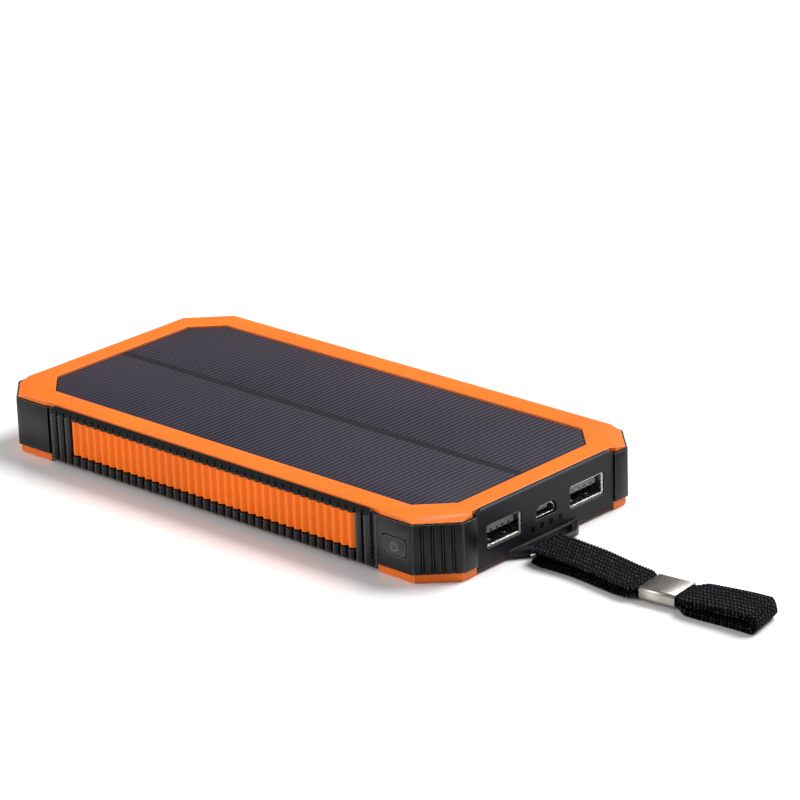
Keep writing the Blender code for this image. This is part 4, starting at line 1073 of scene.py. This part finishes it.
    def band(self, name: str, route: Sequence[Vector], finish: bpy.types.Material) -> tuple[bpy.types.Object, float]:
        """Weave a band of webbing along a side view.

        Args:
            name: the piece's name.
            route: its side view.
            finish: its material; not used here.

        Returns:
            The piece and its flat length.
        """
        walked = self.smooth(route, self.rib / 6)
        across = 16
        bm = bmesh.new()
        bmesh.ops.create_grid(bm, x_segments=len(walked) - 1, y_segments=across, size=0.5)
        sheet = bm.loops.layers.uv.new("strap")
        spots = {vertex: (round((vertex.co.x + 0.5) * (len(walked) - 1)), vertex.co.y * 2) for vertex in bm.verts}
        for face in bm.faces:
            for loop in face.loops:
                index, side = spots[loop.vert]
                loop[sheet].uv = (walked[index][2] / MM, side * self.width / 2 / MM)
        for vertex, (index, side) in spots.items():
            place, normal, distance = walked[index]
            swell = math.sin(2 * math.pi * distance / self.rib)
            edge = abs(side) ** 6
            lift = 0.09 * MM * swell - 0.10 * MM * edge * (1 if normal.y > 0 else -1) * math.copysign(1, place.y - self.bar[1])
            offset = side * (self.breadth(place.x) / 2 + 0.10 * MM * swell * edge)
            x = place.x + normal.x * lift - self.slant(place.x) * offset
            vertex.co = (x, self.centre(place.x) + offset, place.y + normal.y * lift)
        woven = as_object(name, bm)
        cloth = woven.modifiers.new("cloth", "SOLIDIFY")
        cloth.thickness = self.thickness - 0.2 * MM
        cloth.offset = 0.0
        settle(woven)
        return woven, walked[-1][2]

    def build_webbing(self, finish: bpy.types.Material) -> None:
        """Model the loop and the folded layers of the tail."""
        loop, length = self.band("strap_loop_webbing", self.loop_route(), finish)
        dress(loop, finish, Body.STRAP, ["strap_loop"], smooth=60)
        for layer in range(2):
            stands_for = ["strap_tail"] if layer == 0 else []
            tail, length = self.band(f"strap_tail_layer_{layer + 1}", self.tail_route(layer), finish)
            dress(tail, finish, Body.STRAP, stands_for, smooth=60)

    def build_crimp(self, finish: bpy.types.Material) -> None:
        """Model the flattened metal sleeve round both layers."""
        width, height = self.crimp_size
        start, end = self.crimp
        bm = bmesh.new()
        loops = []
        for inset, forward in ((0.0, 0.12), (0.12, 0.0), (0.42, 0.0), (0.5, 0.1)):
            points = rounded(width - 2 * inset * MM, height - 2 * inset * MM, (1.0 - inset * 0.8) * MM, 8)
            for side in (0, 1):
                reach = (end - start) / 2 - forward * MM
                ring = [bm.verts.new((x, y, reach if side else -reach)) for x, y in points]
                loops.append([bm.edges.new(pair) for pair in zip(ring, [*ring[1:], ring[0]])])
        order = [0, 2, 4, 6, 7, 5, 3, 1]
        for one, other in zip(order, [*order[1:], order[0]]):
            bmesh.ops.bridge_loops(bm, edges=[*loops[one], *loops[other]])
        bmesh.ops.transform(bm, matrix=Facing.SOCKET_END.value, verts=bm.verts)
        bmesh.ops.rotate(bm, verts=bm.verts, cent=(0, 0, 0), matrix=Matrix.Rotation(self.turn, 3, "Z"))
        place = ((start + end) / 2, self.crimp_centre, self.crimp_low + height / 2)
        bmesh.ops.translate(bm, verts=bm.verts, vec=place)
        bmesh.ops.recalc_face_normals(bm, faces=bm.faces)
        dress(as_object("strap_crimp_sleeve", bm), finish, Body.STRAP, ["strap_crimp"], smooth=50)

    def build(self, finishes: Finishes) -> None:
        """Build the crimp and the webbing."""
        self.build_crimp(finishes.crimp)
        self.build_webbing(finishes.webbing)


# ---------------------------------------------------------------- studio


@dataclass
class Studio:
    """A white sweep, soft overhead light and a long lens."""

    eye: tuple[float, float, float] = (0.6505, -0.6636, 0.3736)
    azimuth: float = 43.0
    elevation: float = 20.89
    roll: float = 1.86
    lens: float = 167.2

    def build_camera(self) -> None:
        """Aim the camera."""
        azimuth, elevation, roll = (math.radians(a) for a in (self.azimuth, self.elevation, self.roll))
        back = Vector((math.sin(azimuth) * math.cos(elevation), -math.cos(azimuth) * math.cos(elevation), math.sin(elevation)))
        level = Vector((math.cos(azimuth), math.sin(azimuth), 0))
        upright = back.cross(level)
        right = level * math.cos(roll) - upright * math.sin(roll)
        matrix = Matrix((right, back.cross(right), back)).transposed().to_4x4()
        matrix.translation = Vector(self.eye)
        camera = bpy.data.cameras.new("camera")
        camera.lens = self.lens
        camera.sensor_width = 36.0
        camera.clip_start = 0.01
        holder = bpy.data.objects.new("camera", camera)
        holder.matrix_world = matrix
        bpy.context.scene.collection.objects.link(holder)
        bpy.context.scene.camera = holder

    def build_floor(self) -> None:
        """Lay a wide white satin floor."""
        bm = bmesh.new()
        bmesh.ops.create_grid(bm, x_segments=1, y_segments=1, size=4.0)
        floor = as_object("floor", bm)
        made = bpy.data.materials.new("white_acrylic_sheet")
        made.use_nodes = True
        shader = made.node_tree.nodes["Principled BSDF"]
        shader.inputs["Base Color"].default_value = linear("#FAF9FA")
        shader.inputs["Roughness"].default_value = 0.18
        shader.inputs["Specular IOR Level"].default_value = 0.5
        floor.data.materials.append(made)

    def build_lamp(self, name: str, place: Sequence[float], target: Sequence[float], size: float, power: float) -> None:
        """Hang one square softbox.

        Args:
            name: its name.
            place: where it hangs.
            target: what it points at.
            size: its side.
            power: its power in watts.
        """
        light = bpy.data.lights.new(name, "AREA")
        light.size = size
        light.energy = power
        holder = bpy.data.objects.new(name, light)
        holder.location = place
        holder.rotation_euler = (Vector(target) - Vector(place)).to_track_quat("-Z", "Y").to_euler()
        bpy.context.scene.collection.objects.link(holder)

    def build(self) -> None:
        """Set the camera, the floor, the sky and the lamps."""
        self.build_camera()
        self.build_floor()
        world = bpy.data.worlds.new("white_room")
        world.use_nodes = True
        world.node_tree.nodes["Background"].inputs[0].default_value = linear("#FFFFFF")
        world.node_tree.nodes["Background"].inputs[1].default_value = 0.30
        bpy.context.scene.world = world
        bpy.context.scene.view_settings.view_transform = "Standard"
        self.build_lamp("key", (0.30, 0.78, 1.1), (0, 0, 0), 0.8, 26)
        self.build_lamp("fill", (-0.7, -1.0, 0.6), (0, 0, 0), 0.7, 10)


def main() -> None:
    """Build the power bank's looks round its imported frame."""
    logging.basicConfig(level=logging.INFO, format="%(name)s: %(message)s")
    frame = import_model()
    Studio().build()
    finishes = Finishes()
    finishes.paint_nodes(frame["nodes"])
    Strap().build(finishes)
    Case().build(finishes)
    SolarPanel().build(finishes)
    Grip("near", False).build(finishes)
    Grip("far", True).build(finishes)
    Button().build(finishes)
    for number, y in enumerate((-16.2 * MM, 16.2 * MM), 1):
        UsbSocket(number, y).build(finishes)
    ChargeLights().build(finishes)


if __name__ == "__main__":
    main()
